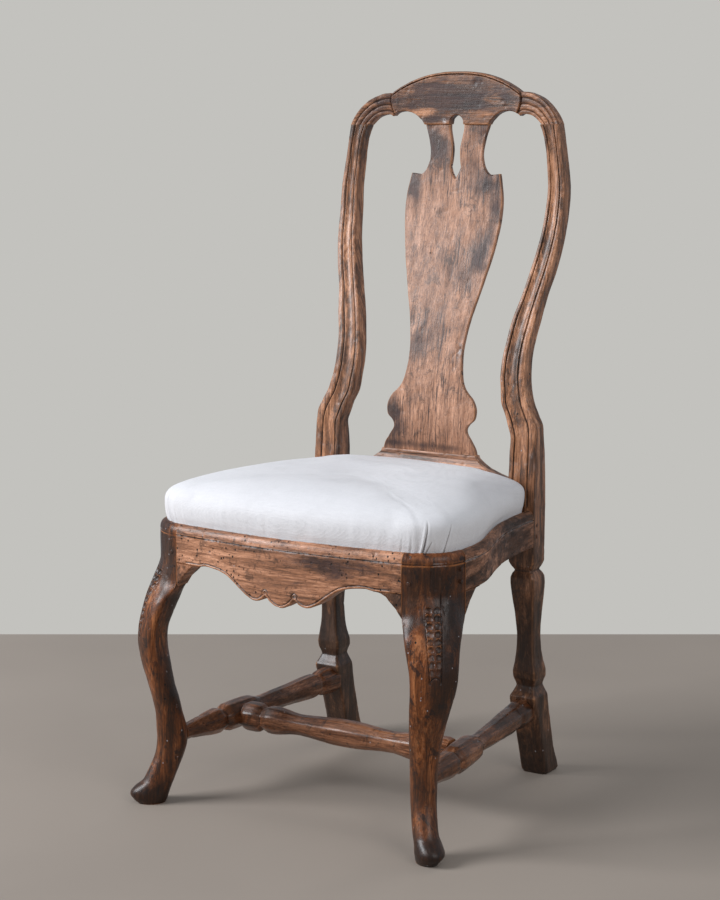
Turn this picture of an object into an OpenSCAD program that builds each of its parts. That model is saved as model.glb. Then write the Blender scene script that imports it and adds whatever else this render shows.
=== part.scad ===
// Rococo side chair with a serpentine seat frame, a vase splat and a lift-out seat.
// Millimetres, +Z up, origin on the floor under the middle of the chair.
// The front faces -Y. Names with left and right are as seen from the front.

/* [Whole chair] */
// Height of the crest's top above the floor
crest_h = 1076; // [1040:1:1110]
// Height of the seat rails' top edge above the floor
seat_h = 423; // [405:1:440]
// Width of the seat frame over its front corners
seat_w = 508; // [490:1:528]
// Width over the two posts at the seat
post_span = 394; // [380:1:410]
// Front rail's face to the front of the posts
seat_d = 395; // [375:1:415]

/* [Seat rails] */
// Depth of the rails, top to bottom edge
rail_h = 57; // [48:1:66]
// Thickness of the front rail
rail_t = 31; // [28:1:34]
// Lip left outside the rebate that holds the seat
lip_w = 10; // [8:1:12]
// Depth of the rebate
rebate_h = 12; // [9:1:15]
// How far the front rail's lobes hang below the rail
apron_drop = 41; // [30:1:50]
// Leg block's width along the front rail
block_w = 64; // [58:1:68]
// Leg block's depth along the side rail
block_d = 86; // [80:1:92]
// Thickness of the rear rail
rear_rail_t = 32; // [28:1:34]

/* [Front legs] */
// Width across the knee
knee_w = 68; // [62:1:74]
// Foot's middle inside the seat's half width
foot_in = 16; // [12:1:20]
// Foot's middle behind the front rail's face
foot_back = 15; // [12:1:18]
// Reach of a knee bracket along its rail
bracket_reach = 42; // [34:1:50]
// Drop of a knee bracket down the leg
bracket_drop = 34; // [26:1:42]
// Thickness of a knee bracket
bracket_t = 25; // [20:1:28]

/* [Back] */
// Width of a post at the seat
post_w = 44; // [40:1:48]
// Depth of a post at the seat
post_t = 39; // [35:1:42]
// Backward lean of the posts' front, seat to crest
back_lean = 87.5; // [70:0.5:100]
// Rise of the crest's top above its joints with the posts
crest_rise = 81; // [72:1:90]
// Backward splay of a rear foot
foot_splay = 43; // [34:1:52]
// Thickness of the crest rail's middle
crest_t = 15; // [13:1:18]
// Backward bow of the crest's middle
crest_bow = 18; // [10:1:24]
// Raised centre panel's stand above the shoulders
panel_step = 2.5; // [1.5:0.5:4]
// Thickness of the splat
splat_t = 8; // [7:0.5:10]
// Width of the splat at its widest
splat_w = 172; // [160:1:184]
// Height of the shoe above the rear rail
shoe_h = 70; // [62:1:76]

/* [Stretchers] */
// Height of the stretchers' middle
stretcher_z = 103; // [97:1:109]
// Size across the flats of the side stretchers' blocks
side_bar = 41; // [36:1:45]
// Size across the flats of the cross stretcher's swelling
cross_bar = 40; // [36:1:44]

/* [Joints] */
// Thickness of a rail's tenon
tenon_t = 10; // [8:1:12]
// Length of a rail's tenon
tenon_l = 20; // [16:1:22]
// Radius of a peg
peg_r = 3; // [2.5:0.25:3.5]
// Clearance around a peg
peg_gap = 0.1; // [0.1:0.05:0.3]

/* [Lift-out seat] */
// Clearance between the seat and the frame around it
seat_gap = 2; // [1.5:0.5:3]
// Width of the seat frame's members
member_w = 45; // [38:1:52]
// Thickness of the seat frame's members
member_t = 19; // [16:1:22]
// Width of a webbing strip
web_w = 56; // [48:1:64]
// Thickness of the webbing
web_t = 1.5; // [1:0.5:2]
// Thickness of the hessian and of the linen cover
cloth_t = 1; // [0.8:0.1:1.2]
// Height of the cushion's crown above the rails
crown_h = 65; // [50:1:75]
// How far the cushion swells over the lip
swell = 5; // [3:1:7]
// Width of the cover's hem under the seat frame
hem_w = 38; // [36:1:42]
// Radius of a tack's head
tack_r = 3.5; // [3:0.5:4]

/* [Hidden] */

// Depths that follow from the sizes above, measured from the middle of the chair
toe_over = 9.76;
front_y = -(seat_d + back_lean + crest_bow + crest_t - toe_over) / 2;
post_y = front_y + seat_d;
half_w = seat_w / 2;
post_top = crest_h - crest_rise;
post_out = post_span / 2;
post_in = post_out - post_w;
rail_z = seat_h - rail_h;
rebate_z = seat_h - rebate_h;
joint_x = half_w - block_w;
joint_y = front_y + block_d;
foot_x = half_w - foot_in;
foot_y = front_y + foot_back;
// Overrun of a cut past the face that it opens
over = 1;
// A solid large enough to trim any one piece
trim = 400;
// Running clearance of a soft piece beside its neighbour
soft_gap = 0.3;
stuff_gap = 0.8;

// Outline of the seat frame in plan, from the front's middle to the post.
// First the front to the corner, as shares of the half width and the depth.
front_curve_shares = [[0, 0.018], [0.16, 0.0204], [0.42, 0.0325], [0.748, 0.0557], [0.835, 0.0734],
    [0.9055, 0.1], [0.9646, 0.1405], [0.99, 0.19]];
// Then the side, across from the post's face to the corner, and along the depth
side_curve_shares = [[1, 0.248], [0.982, 0.329], [0.886, 0.405], [0.737, 0.473], [0.561, 0.544],
    [0.404, 0.615], [0.263, 0.686], [0.158, 0.762], [0.082, 0.843], [0.03, 0.924], [0, 1]];
half_outline = concat(
    [for (p = front_curve_shares) [half_w * p[0], front_y + seat_d * p[1]]],
    [for (p = side_curve_shares) [post_out + (half_w - post_out) * p[0], front_y + seat_d * p[1]]]);

function mirrored(points) = [for (i = [len(points) - 1:-1:1]) [-points[i][0], points[i][1]]];
function whole(points) = concat(mirrored(points), points);
function lerp(a, b, t) = a + (b - a) * t;
function unit(v) = v / norm(v);
// A line of points moved sideways by d, to the left of its own direction
function beside(points, d) = [for (i = [0:len(points) - 1])
    let(a = points[max(i - 1, 0)], b = points[min(i + 1, len(points) - 1)], t = unit(b - a))
    points[i] + d * [-t[1], t[0]]];
// A point on a smooth curve through points p, at place u from 0 to its last index
function curve_at(p, u) =
    let(n = len(p) - 1, i = min(floor(u), n - 1), t = u - i,
        a = p[max(i - 1, 0)], b = p[i], c = p[i + 1], d = p[min(i + 2, n)])
    0.5 * (2 * b + (c - a) * t + (2 * a - 5 * b + 4 * c - d) * t * t + (3 * b - a - 3 * c + d) * t * t * t);
function smooth(p, steps) = [for (i = [0:(len(p) - 1) * steps]) curve_at(p, i / steps)];
// The x where a line of points, rising in y, crosses height y
function across_at(points, y) = let(k = [for (i = [0:len(points) - 2])
    if (points[i][1] <= y && y <= points[i + 1][1]) i][0], a = points[k], b = points[k + 1])
    lerp(a[0], b[0], (y - a[1]) / max(b[1] - a[1], 0.000001));
// The y where a line of points, rising in x, crosses x
function along_at(points, x) = let(k = [for (i = [0:len(points) - 2])
    if (points[i][0] <= x && x <= points[i + 1][0]) i][0], a = points[k], b = points[k + 1])
    lerp(a[1], b[1], (x - a[0]) / max(b[0] - a[0], 0.000001));
// A solid through rings of equally many points, counter-clockwise seen from above
module loft(rings) {
    n = len(rings[0]);
    last = len(rings) - 1;
    polyhedron(points = [for (r = rings) for (p = r) p],
        faces = concat([[for (k = [0:n - 1]) k]],
            [for (j = [0:last - 1]) for (k = [0:n - 1]) let(a = j * n + k, b = j * n + (k + 1) % n)
                each [[a, a + n, b + n], [a, b + n, b]]],
            [[for (k = [n - 1:-1:0]) last * n + k]]));
}
// An upright prism of plan points, and a prism of points seen from the front or the side
module plan(points, z0, z1) translate([0, 0, z0]) linear_extrude(z1 - z0) polygon(points);
module front_view(points, y0, y1) translate([0, y1, 0]) rotate([90, 0, 0])
    linear_extrude(y1 - y0) polygon(points);
module side_view(points, x0, x1) translate([x0, 0, 0]) rotate([90, 0, 90])
    linear_extrude(x1 - x0) polygon(points);
// A block between two opposite corners
module block(a, b) translate(a) cube(b - a);
module both_sides() {
    children();
    mirror([1, 0, 0]) children();
}

outline = smooth(half_outline, 2);
inner_outline = beside(outline, rail_t);
lip_outline = beside(outline, lip_w);

// Seat rails

// Space of the rebate: everything inside the lip, above the rebate's floor
module rebate_space() {
    plan(concat(whole(lip_outline), [[across_at(lip_outline, joint_y), post_y + over],
        [-across_at(lip_outline, joint_y), post_y + over]]), rebate_z, seat_h + over);
}

// Where the tenons sit inside the rails
tenon_low = 8;
tenon_high = 6;
tenon_z0 = rail_z + tenon_low;
tenon_z1 = rebate_z - tenon_high;
front_tenon_back = 36;
side_tenon_in = 30;
post_tenon_in = 25;
front_tenon_y = front_y + front_tenon_back;
side_tenon_x = half_w - side_tenon_in;
post_tenon_x = post_out - post_tenon_in;

// The front rail's lower edge, across from the middle and down from the rail's bottom
apron_shares = [[0, 0.98], [0.042, 0.94], [0.09, 0.81], [0.124, 0.66], [0.138, 0.65], [0.16, 0.76],
    [0.195, 0.835], [0.24, 0.85], [0.288, 0.78], [0.346, 0.62], [0.415, 0.39], [0.49, 0.16], [0.56, 0.04],
    [0.63, -0.02], [0.71, -0.05], [0.78, 0], [1, 0]];
apron = [for (p = apron_shares) [joint_x * p[0], rail_z - apron_drop * p[1]]];
module front_rail() {
    color("#9a6238") difference() {
        union() {
            intersection() {
                plan(concat(whole(outline), [for (i = [len(inner_outline) - 1:-1:0]) inner_outline[i]],
                    [for (i = [1:len(inner_outline) - 1]) [-inner_outline[i][0], inner_outline[i][1]]]),
                    rail_z - apron_drop - over, seat_h);
                front_view(concat(whole(apron), [[joint_x, seat_h + over], [-joint_x, seat_h + over]]),
                    front_y - over, joint_y);
            }
            both_sides() front_tenon();
        }
        rebate_space();
        both_sides() front_leg_peg_holes();
    }
}
module front_tenon()
    block([joint_x - over, front_tenon_y - tenon_t / 2, tenon_z0],
        [joint_x + tenon_l, front_tenon_y + tenon_t / 2, tenon_z1]);
module side_tenon()
    block([side_tenon_x - tenon_t / 2, joint_y - tenon_l, tenon_z0],
        [side_tenon_x + tenon_t / 2, joint_y + over, tenon_z1]);
post_tenon_l = 22;
module post_tenon()
    block([post_tenon_x - tenon_t / 2, post_y - over, tenon_z0],
        [post_tenon_x + tenon_t / 2, post_y + post_tenon_l, tenon_z1]);
rear_tenon_l = 12;
rear_rail_set_back = 5;
rear_rail_y = post_y + rear_rail_set_back;
module rear_tenon()
    block([post_in - over, rear_rail_y + rear_rail_t / 2 - tenon_t / 2, tenon_z0],
        [post_in + rear_tenon_l, rear_rail_y + rear_rail_t / 2 + tenon_t / 2, tenon_z1]);

// Inner face of a side rail: straight, from the leg block to the post
side_inner_front = across_at(outline, joint_y) - rail_t;
side_inner_shift = 9;
side_inner_rear = post_in + side_inner_shift;
module right_side_rail() {
    color("#7d4a26") difference() {
        union() {
            plan(concat([for (p = outline) if (p[1] > joint_y && p[1] < post_y) p],
                [[post_out, post_y], [side_inner_rear, post_y], [side_inner_front, joint_y],
                [across_at(outline, joint_y), joint_y]]), rail_z, seat_h);
            side_tenon();
            post_tenon();
        }
        rebate_space();
        front_leg_peg_holes();
        post_peg_holes();
    }
}
module rear_rail() {
    color("#6b3f22") difference() {
        union() {
            block([-post_in, rear_rail_y, rail_z], [post_in, rear_rail_y + rear_rail_t, seat_h]);
            both_sides() rear_tenon();
        }
        block([-post_in - over, rear_rail_y - over, rebate_z],
            [post_in + over, shoe_y, seat_h + over]);
    }
}

// Front legs: rings along the height, set out on the leg's diagonal.
// Height, outer reach, inner reach, half width, sideways shift and how square the section is.
// The height is a share of the height under the rails, the others are shares of the knee's width.
leg_shares = [
    [0, 0.294, -0.309, 0.221, -0.015, 0], [0.011, 0.368, -0.346, 0.243, -0.007, 0],
    [0.036, 0.456, -0.397, 0.301, 0.029, 0], [0.06, 0.397, -0.441, 0.287, 0.022, 0],
    [0.093, 0.176, -0.507, 0.262, 0, 0], [0.137, 0.044, -0.603, 0.262, 0.003, 0],
    [0.197, -0.096, -0.735, 0.265, 0.018, 0], [0.249, -0.147, -0.809, 0.271, 0.032, 0],
    [0.311, -0.143, -0.794, 0.279, 0.029, 0], [0.369, -0.125, -0.713, 0.301, 0.028, 0.05],
    [0.426, -0.066, -0.647, 0.331, 0.025, 0.15], [0.492, 0.029, -0.551, 0.368, 0.029, 0.35],
    [0.574, 0.147, -0.478, 0.422, 0.056, 0.7], [0.656, 0.221, -0.426, 0.475, 0.099, 1],
    [0.724, 0.213, -0.449, 0.504, 0.115, 1], [0.784, 0.147, -0.566, 0.54, 0.121, 1],
    [0.825, 0.081, -0.669, 0.574, 0.125, 1], [0.863, 0.007, -0.772, 0.603, 0.162, 1]];
leg_low_h = rail_z - bracket_drop;
// Section seen from above: distance in from the outer reach, and width, from the front round
square_shares = [[0, 0], [0.05, 0.34], [0.15, 0.7], [0.27, 0.94], [0.42, 1], [0.6, 0.76],
    [0.78, 0.5], [0.93, 0.24], [1, 0]];
function leg_point(a, b, z) = [foot_x + (a + b) * sqrt(0.5), foot_y + (b - a) * sqrt(0.5), z];
function leg_section(k, out, in, half, share) =
    let(i = k <= 8 ? k : 16 - k, side = k <= 8 ? 1 : -1, angle = i * 22.5, s = square_shares[i],
        round_a = (out + in) / 2 + (out - in) / 2 * cos(angle), round_b = half * sin(angle))
    [lerp(round_a, lerp(out, in, s[0]), share), side * lerp(round_b, half * s[1], share)];
function leg_ring(r) = [for (k = [0:15])
    let(p = leg_section(k, knee_w * r[1], knee_w * r[2], knee_w * r[3], r[5]))
    leg_point(p[0], p[1] + knee_w * r[4], rail_z * r[0])];
// Rings of the block: along the outline from the front joint to the side joint, then inside
corner_line = concat([[joint_x, along_at(outline, joint_x)]],
    [for (p = outline) if (p[0] > joint_x + over && p[1] < joint_y - over) p],
    [[across_at(outline, joint_y), joint_y]]);
function corner_at(t) = curve_at(corner_line, t * (len(corner_line) - 1));
push_shares = [1, 0.94, 0.75, 0.42, 0, 0, 0, 0, 0, 0, 0, 0, 0, 0.42, 0.75, 0.94];
bracket_ease = 2;
bracket_over = 20;
// Inner side of the block: points 5 to 11, from the full corner to a cut straight across it
function block_point(k, cut) =
    let(side_x = across_at(outline, joint_y), face_x = side_x - bracket_t - bracket_ease,
        front_end = along_at(outline, joint_x), face_y = front_end + bracket_t + bracket_ease,
        a = [face_x, joint_y], b = [joint_x, face_y], corner = [joint_x, joint_y])
    k == 5 ? [lerp(side_x, face_x, 0.5), joint_y] : k == 6 ? a
    : k == 7 ? lerp(lerp(a, corner, 0.6), lerp(a, b, 0.25), cut)
    : k == 8 ? lerp(corner, lerp(a, b, 0.5), cut)
    : k == 9 ? lerp(lerp(b, corner, 0.6), lerp(b, a, 0.25), cut) : k == 10 ? b
    : k == 11 ? [joint_x, lerp(front_end, face_y, 0.5)] : corner_at((k <= 4 ? k + 4 : k - 12) / 8);
function block_ring(z, push, inset) = [for (k = [0:15])
    let(p = block_point(k, inset), d = push * push_shares[k])
    [p[0] + d * sqrt(0.5), p[1] - d * sqrt(0.5), z]];
// Height, outward push of the knee and cut of the inner corner, from the bracket's foot up
knee_shares = [[0, 0.206, 1], [0.24, 0.15, 0.5], [0.44, 0.1, 0.16], [0.65, 0.055, 0.02], [0.85, 0.015, 0],
    [1, 0, 0]];
module right_front_leg() {
    color("#7a4524") difference() {
        loft(concat([for (r = leg_shares) leg_ring(r)],
            [for (r = knee_shares) block_ring(leg_low_h + bracket_drop * r[0], knee_w * r[1], r[2])],
            [block_ring(seat_h, 0, 0)]));
        rebate_space();
        front_tenon();
        side_tenon();
        front_leg_peg_holes();
        stretcher_front_seat();
        side_stretcher_tenons();
    }
}

// Knee brackets: the concave piece under the rail beside the block
bracket_shares = [[0, 0], [0.28, 0.07], [0.52, 0.3], [0.76, 0.6], [1, 1]];
// The outline along the front between two x, and along the side between two y
function front_part(x0, x1) = concat([[x0, along_at(outline, x0)]],
    [for (p = outline) if (p[0] > x0 && p[0] < x1 && p[1] < joint_y) p], [[x1, along_at(outline, x1)]]);
function side_part(y0, y1) = concat([[across_at(outline, y0), y0]],
    [for (p = outline) if (p[1] > y0 && p[1] < y1 && p[0] > joint_x) p], [[across_at(outline, y1), y1]]);
// A band of plan points and the same points moved by d
function band(points, d) = concat(points, [for (i = [len(points) - 1:-1:0]) points[i] + d]);
module right_front_bracket() {
    low = smooth([for (p = bracket_shares)
        [joint_x - bracket_reach * (1 - p[0]), rail_z - bracket_drop * p[1]]], 2);
    color("#75432a") intersection() {
        plan(band(front_part(joint_x - bracket_reach - bracket_over, joint_x), [0, bracket_t]),
            rail_z - bracket_drop - over, rail_z);
        front_view(concat(low, [[joint_x, rail_z]]), front_y, joint_y);
    }
}
module right_side_bracket() {
    low = smooth([for (p = bracket_shares)
        [joint_y + bracket_reach * (1 - p[0]), rail_z - bracket_drop * p[1]]], 2);
    color("#6d3c20") intersection() {
        plan(band(side_part(joint_y, joint_y + bracket_reach + bracket_over), [-bracket_t, 0]),
            rail_z - bracket_drop - over, rail_z);
        side_view(concat([[joint_y, rail_z]], [for (i = [len(low) - 1:-1:0]) low[i]]), 0, half_w + over);
    }
}

// Posts: each rear leg and upright is one piece, a square section with its corners eased.
// Below the seat the height is a share of the rail's bottom, the shift outwards and the width are
// shares of the post's width, the front's set-back of the foot's splay, the depth and the easing
// of the front's outer and inner corner and of the back of the post's depth.
rear_leg_shares = [
    [0, 0.136, 1, 0.932, 1.079, 0.184, 0.079, 0.079],
    [0.016, 0.13, 0.942, 0.977, 1.132, 0.184, 0.079, 0.079],
    [0.096, 0.102, 0.767, 0.943, 1.079, 0.184, 0.079, 0.079],
    [0.137, 0.098, 0.651, 0.943, 1.079, 0.184, 0.079, 0.079],
    [0.246, 0.091, 0.379, 0.955, 1.111, 0.158, 0.079, 0.079],
    [0.306, 0.08, 0.2, 0.989, 1.147, 0.132, 0.079, 0.079],
    [0.355, 0.077, 0.093, 1, 1.158, 0.079, 0.079, 0.079],
    [0.377, 0.077, 0.209, 0.841, 0.974, 0.079, 0.079, 0.079],
    [0.399, 0.077, 0.312, 0.705, 0.816, 0.079, 0.079, 0.079],
    [0.415, 0.077, 0.279, 0.761, 0.882, 0.079, 0.079, 0.079],
    [0.434, 0.077, 0.219, 0.864, 1, 0.079, 0.079, 0.079],
    [0.464, 0.077, 0.181, 0.875, 1.013, 0.079, 0.079, 0.079],
    [0.505, 0.077, 0.205, 0.761, 0.882, 0.079, 0.079, 0.079],
    [0.552, 0.077, 0.228, 0.677, 0.784, 0.079, 0.079, 0.079],
    [0.626, 0.075, 0.228, 0.641, 0.742, 0.079, 0.079, 0.079],
    [0.71, 0.073, 0.158, 0.727, 0.842, 0.079, 0.079, 0.079],
    [0.781, 0.068, 0.058, 0.841, 0.974, 0.079, 0.079, 0.079],
    [0.833, 0.064, -0.012, 0.909, 1.053, 0.079, 0.079, 0.079],
    [0.866, 0.059, -0.023, 0.898, 1.039, 0.079, 0.079, 0.079],
    [0.883, 0.052, 0.023, 0.795, 0.921, 0.079, 0.079, 0.079],
    [0.896, 0.045, 0.086, 0.659, 0.763, 0.079, 0.079, 0.079],
    [0.913, 0.023, 0.023, 0.818, 0.947, 0.079, 0.079, 0.079],
    [0.932, 0.005, 0, 0.977, 1, 0.079, 0.079, 0.079], [1, 0, 0, 1, 1, 0.039, 0.039, 0.079]];
// Above the seat the height is a share from the rail's top to the crest joint, the shift inwards
// and the width are shares of the post's width, the set-back of the lean and the depth of the post's
post_shares = [
    [0, 0, 0, 1, 1, 0.03, 0.06], [0.082, 0, 0, 1, 0.974, 0.03, 0.06],
    [0.143, 0.009, 0.029, 1, 0.859, 0.03, 0.06], [0.189, 0.014, 0.055, 0.982, 0.769, 0.04, 0.11],
    [0.219, 0.102, 0.08, 1.091, 0.718, 0.04, 0.11], [0.24, 0.222, 0.097, 1.057, 0.692, 0.04, 0.11],
    [0.274, 0.432, 0.126, 1.045, 0.679, 0.04, 0.11], [0.309, 0.534, 0.16, 0.977, 0.667, 0.04, 0.11],
    [0.344, 0.602, 0.2, 0.955, 0.667, 0.04, 0.11], [0.388, 0.611, 0.257, 0.927, 0.654, 0.04, 0.11],
    [0.432, 0.557, 0.326, 0.886, 0.654, 0.04, 0.11], [0.484, 0.443, 0.406, 0.886, 0.654, 0.04, 0.11],
    [0.554, 0.256, 0.537, 0.784, 0.654, 0.04, 0.11], [0.624, 0.045, 0.657, 0.773, 0.654, 0.04, 0.11],
    [0.694, -0.114, 0.777, 0.727, 0.654, 0.04, 0.11], [0.764, -0.184, 0.891, 0.686, 0.654, 0.04, 0.11],
    [0.834, -0.199, 0.954, 0.648, 0.641, 0.04, 0.11], [0.895, -0.114, 0.983, 0.614, 0.628, 0.04, 0.11],
    [0.93, -0.051, 0.99, 0.589, 0.615, 0.04, 0.11], [0.965, 0.027, 0.994, 0.614, 0.603, 0.04, 0.11],
    [0.984, 0.089, 0.998, 0.664, 0.59, 0.04, 0.11], [1, 0.15, 1, 0.723, 0.577, 0.04, 0.11]];
post_mid = post_out - post_w / 2;
function post_ring(x, y, w, d, outer, inner, back, z) = [
    [x + w / 2 - outer, y, z], [x + w / 2, y + outer, z], [x + w / 2, y + d - back, z],
    [x + w / 2 - back, y + d, z], [x - w / 2 + back, y + d, z], [x - w / 2, y + d - back, z],
    [x - w / 2, y + inner, z], [x - w / 2 + inner, y, z]];
rear_leg_rings = [for (r = rear_leg_shares) post_ring(post_mid + post_w * r[1],
    post_y + foot_splay * r[2], post_w * r[3], post_t * r[4], post_t * r[5], post_t * r[6],
    post_t * r[7], rail_z * r[0])];
upright_rings = [for (r = post_shares) post_ring(post_mid - post_w * r[1], post_y + back_lean * r[2],
    post_w * r[3], post_t * r[4], post_t * r[5], post_t * r[5], post_t * r[6],
    lerp(seat_h, post_top, r[0]))];
post_tenon_h = 14;
tenon_shift = 6;
crest_y = post_y + back_lean;
crest_end_t = post_t * 0.577;
crest_tenon_y = crest_y + crest_end_t / 2;
module crest_tenon(grow) {
    top = upright_rings[len(upright_rings) - 1];
    mid = (top[1][0] + top[6][0]) / 2 - tenon_shift;
    block([mid - tenon_t * 0.8, crest_tenon_y - tenon_t / 2, post_top - over],
        [mid + tenon_t * 0.8, crest_tenon_y + tenon_t / 2, post_top + post_tenon_h + grow]);
}
module right_post() {
    color("#8a5530") difference() {
        union() {
            loft(concat(rear_leg_rings, upright_rings));
            crest_tenon(0);
        }
        post_tenon();
        rear_tenon();
        post_peg_holes();
        crest_peg_holes();
        side_stretcher_tenons();
    }
}

// Crest rail: shoulders and a raised centre panel, bowed backwards in plan
panel_half = post_out * 0.565;
crest_foot = post_top;
// Outline points: across as shares of the post's outer half span, up as shares of the rise
crest_shares = [
    [0, 1], [0.091, 0.996], [0.178, 0.975], [0.264, 0.938], [0.335, 0.889], [0.406, 0.827],
    [0.467, 0.759], [0.528, 0.679], [0.579, 0.599], [0.614, 0.605], [0.68, 0.574], [0.766, 0.488],
    [0.812, 0.407], [0.853, 0.315], [0.888, 0.21], [0.914, 0.111], [0.936, 0], [0.774, 0],
    [0.756, 0.043], [0.731, 0.099], [0.701, 0.148], [0.655, 0.185], [0.599, 0.195], [0.569, 0.16],
    [0.543, 0.216], [0.508, 0.244], [0.457, 0.253], [0.406, 0.235], [0.36, 0.185], [0.325, 0.111],
    [0.302, 0.056], [0.287, 0], [0.063, 0], [0.061, 0.062], [0.048, 0.123], [0.025, 0.167], [0, 0.179]];
crest_line = [for (p = crest_shares) [post_out * p[0], crest_foot + crest_rise * p[1]]];
crest_half = post_out * 0.9355;
function bow_y(x, y) = y + crest_bow * (1 - pow(min(x / crest_half, 1), 2));
bow_steps = 12;
// A bowed slab, thicker by ends where it reaches the posts and with its back corners eased like theirs
module bowed_band(x_max, y0, y1, ends, ease) {
    xs = [for (i = [-bow_steps:bow_steps]) (x_max - ease) * i / bow_steps];
    plan(concat([[-x_max, bow_y(x_max, y0)]], [for (x = xs) [x, bow_y(abs(x), y0)]], [[x_max, bow_y(x_max, y0)],
        [x_max, bow_y(x_max, y1 + ends) - ease]],
        [for (i = [len(xs) - 1:-1:0]) [xs[i], bow_y(abs(xs[i]), y1 + ends * pow(xs[i] / x_max, 4))]],
        [[-x_max, bow_y(x_max, y1 + ends) - ease]]), crest_foot - crest_rise, crest_h + over);
}
splat_joint_z = crest_foot;
module crest_rail() {
    color("#54382c") difference() {
        intersection() {
            front_view(concat(mirrored(crest_line), crest_line), crest_y - trim, crest_y + trim);
            union() {
                bowed_band(crest_half, crest_y, crest_y + crest_t, crest_end_t - crest_t, post_t * 0.11);
                bowed_band(panel_half, crest_y - panel_step, crest_y + crest_t / 2, 0, 0);
            }
        }
        both_sides() crest_tenon(over);
        both_sides() crest_peg_holes();
        splat_top_tenon();
    }
}

// Splat: a thin curved board between the shoe and the crest.
// Outline across as shares of the half width, up as shares from the shoe to the crest joint.
shoe_top = seat_h + shoe_h;
splat_shares = [
    [0.965, 0], [0.93, 0.02], [0.843, 0.044], [0.767, 0.064], [0.756, 0.078], [0.802, 0.092],
    [0.89, 0.106], [0.919, 0.125], [0.907, 0.145], [0.831, 0.169], [0.703, 0.191], [0.628, 0.211],
    [0.581, 0.239], [0.556, 0.277], [0.55, 0.317], [0.576, 0.359], [0.628, 0.41], [0.709, 0.466],
    [0.802, 0.53], [0.895, 0.6], [0.965, 0.669], [1, 0.729], [0.992, 0.779], [0.948, 0.821],
    [0.913, 0.851], [0.756, 0.847], [0.669, 0.852], [0.593, 0.869], [0.547, 0.894], [0.538, 0.92],
    [0.581, 0.96], [0.657, 1]];
hole_shares = [[0.145, 1], [0.143, 0.984], [0.11, 0.958], [0.073, 0.926], [0.084, 0.892], [0.105, 0.871], [0.07, 0.853], [0, 0.833]];
splat_rise = splat_joint_z - shoe_top;
// Front face of the splat, back from the posts' front: shares of the height and of the set-back
splat_lean_shares = [[-0.08, 0], [0, 0], [0.06, 0.005], [0.13, 0.04], [0.21, 0.11], [0.29, 0.2], [0.37, 0.31],
    [0.45, 0.43], [0.53, 0.56], [0.61, 0.68], [0.69, 0.79], [0.77, 0.87], [0.85, 0.93], [0.93, 0.97], [1, 1],
    [1.06, 1.02]];
splat_set_back = 25;
splat_y = post_y + splat_set_back;
splat_shoulder = 1;
splat_back = crest_y + crest_bow + splat_shoulder - splat_y;
function splat_front(r) = [splat_y + splat_back * r[1], shoe_top + splat_rise * r[0]];
splat_curve = [for (r = splat_lean_shares) splat_front(r)];
splat_half = splat_w / 2;
module splat_side() {
    side_view(concat(splat_curve, [for (i = [len(splat_curve) - 1:-1:0])
        splat_curve[i] + [splat_t, 0]]), -splat_w, splat_w);
}
splat_tenon_l = 12;
splat_tenon_half = splat_half * 0.8;
module splat_bottom_tenon()
    block([-splat_tenon_half, splat_y, shoe_top - splat_tenon_l],
        [splat_tenon_half, splat_y + splat_t, shoe_top + over]);
splat_top_y = crest_y + crest_bow + splat_shoulder;
module splat_top_tenon()
    both_sides() block([splat_half * 0.2, splat_top_y + splat_shoulder, splat_joint_z - over],
        [splat_half * 0.58, splat_top_y + splat_t - splat_shoulder, splat_joint_z + splat_tenon_l]);
module splat() {
    side = [for (p = splat_shares) [splat_half * p[0], shoe_top + splat_rise * p[1]]];
    hole = [for (p = hole_shares) [splat_half * p[0], shoe_top + splat_rise * p[1]]];
    color("#a06c48") union() {
        intersection() {
            front_view(concat(side, hole, [for (i = [len(hole) - 2:-1:0]) [-hole[i][0], hole[i][1]]],
                [for (i = [len(side) - 1:-1:0]) [-side[i][0], side[i][1]]]), post_y - trim, post_y + trim);
            splat_side();
        }
        splat_bottom_tenon();
        splat_top_tenon();
    }
}

// Shoe: the moulded base of the splat, on the rear rail between the posts
shoe_set_back = 13;
shoe_overhang = 4;
shoe_y = post_y + shoe_set_back;
shoe_back = rear_rail_y + rear_rail_t + shoe_overhang;
shoe_top_back = splat_y + splat_t + shoe_overhang;
shoe_end_shares = [[1, 0], [1, 0.52], [0.9, 0.57], [0.8, 0.64], [0.69, 0.73], [0.61, 0.84], [0.56, 0.93],
    [0.55, 1]];
shoe_front_shares = [[0, 0], [0, 0.55], [0.15, 0.62], [0.3, 0.7], [0.45, 0.8], [0.72, 0.9], [0.75, 1]];
module splat_shoe() {
    end = [for (p = shoe_end_shares) [post_in * p[0], seat_h + shoe_h * p[1]]];
    face = [for (p = shoe_front_shares) [lerp(shoe_y, splat_y, p[0]), seat_h + shoe_h * p[1]]];
    color("#8d5a36") difference() {
        intersection() {
            front_view(concat(end, [for (i = [len(end) - 1:-1:0]) [-end[i][0], end[i][1]]]),
                shoe_y - over, shoe_back + over);
            side_view(concat(face, [[shoe_top_back, shoe_top], [shoe_top_back, lerp(seat_h, shoe_top, 0.5)],
                [shoe_back, lerp(seat_h, shoe_top, 0.35)], [shoe_back, seat_h]]),
                -post_in - over, post_in + over);
        }
        splat_bottom_tenon();
    }
}

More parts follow.
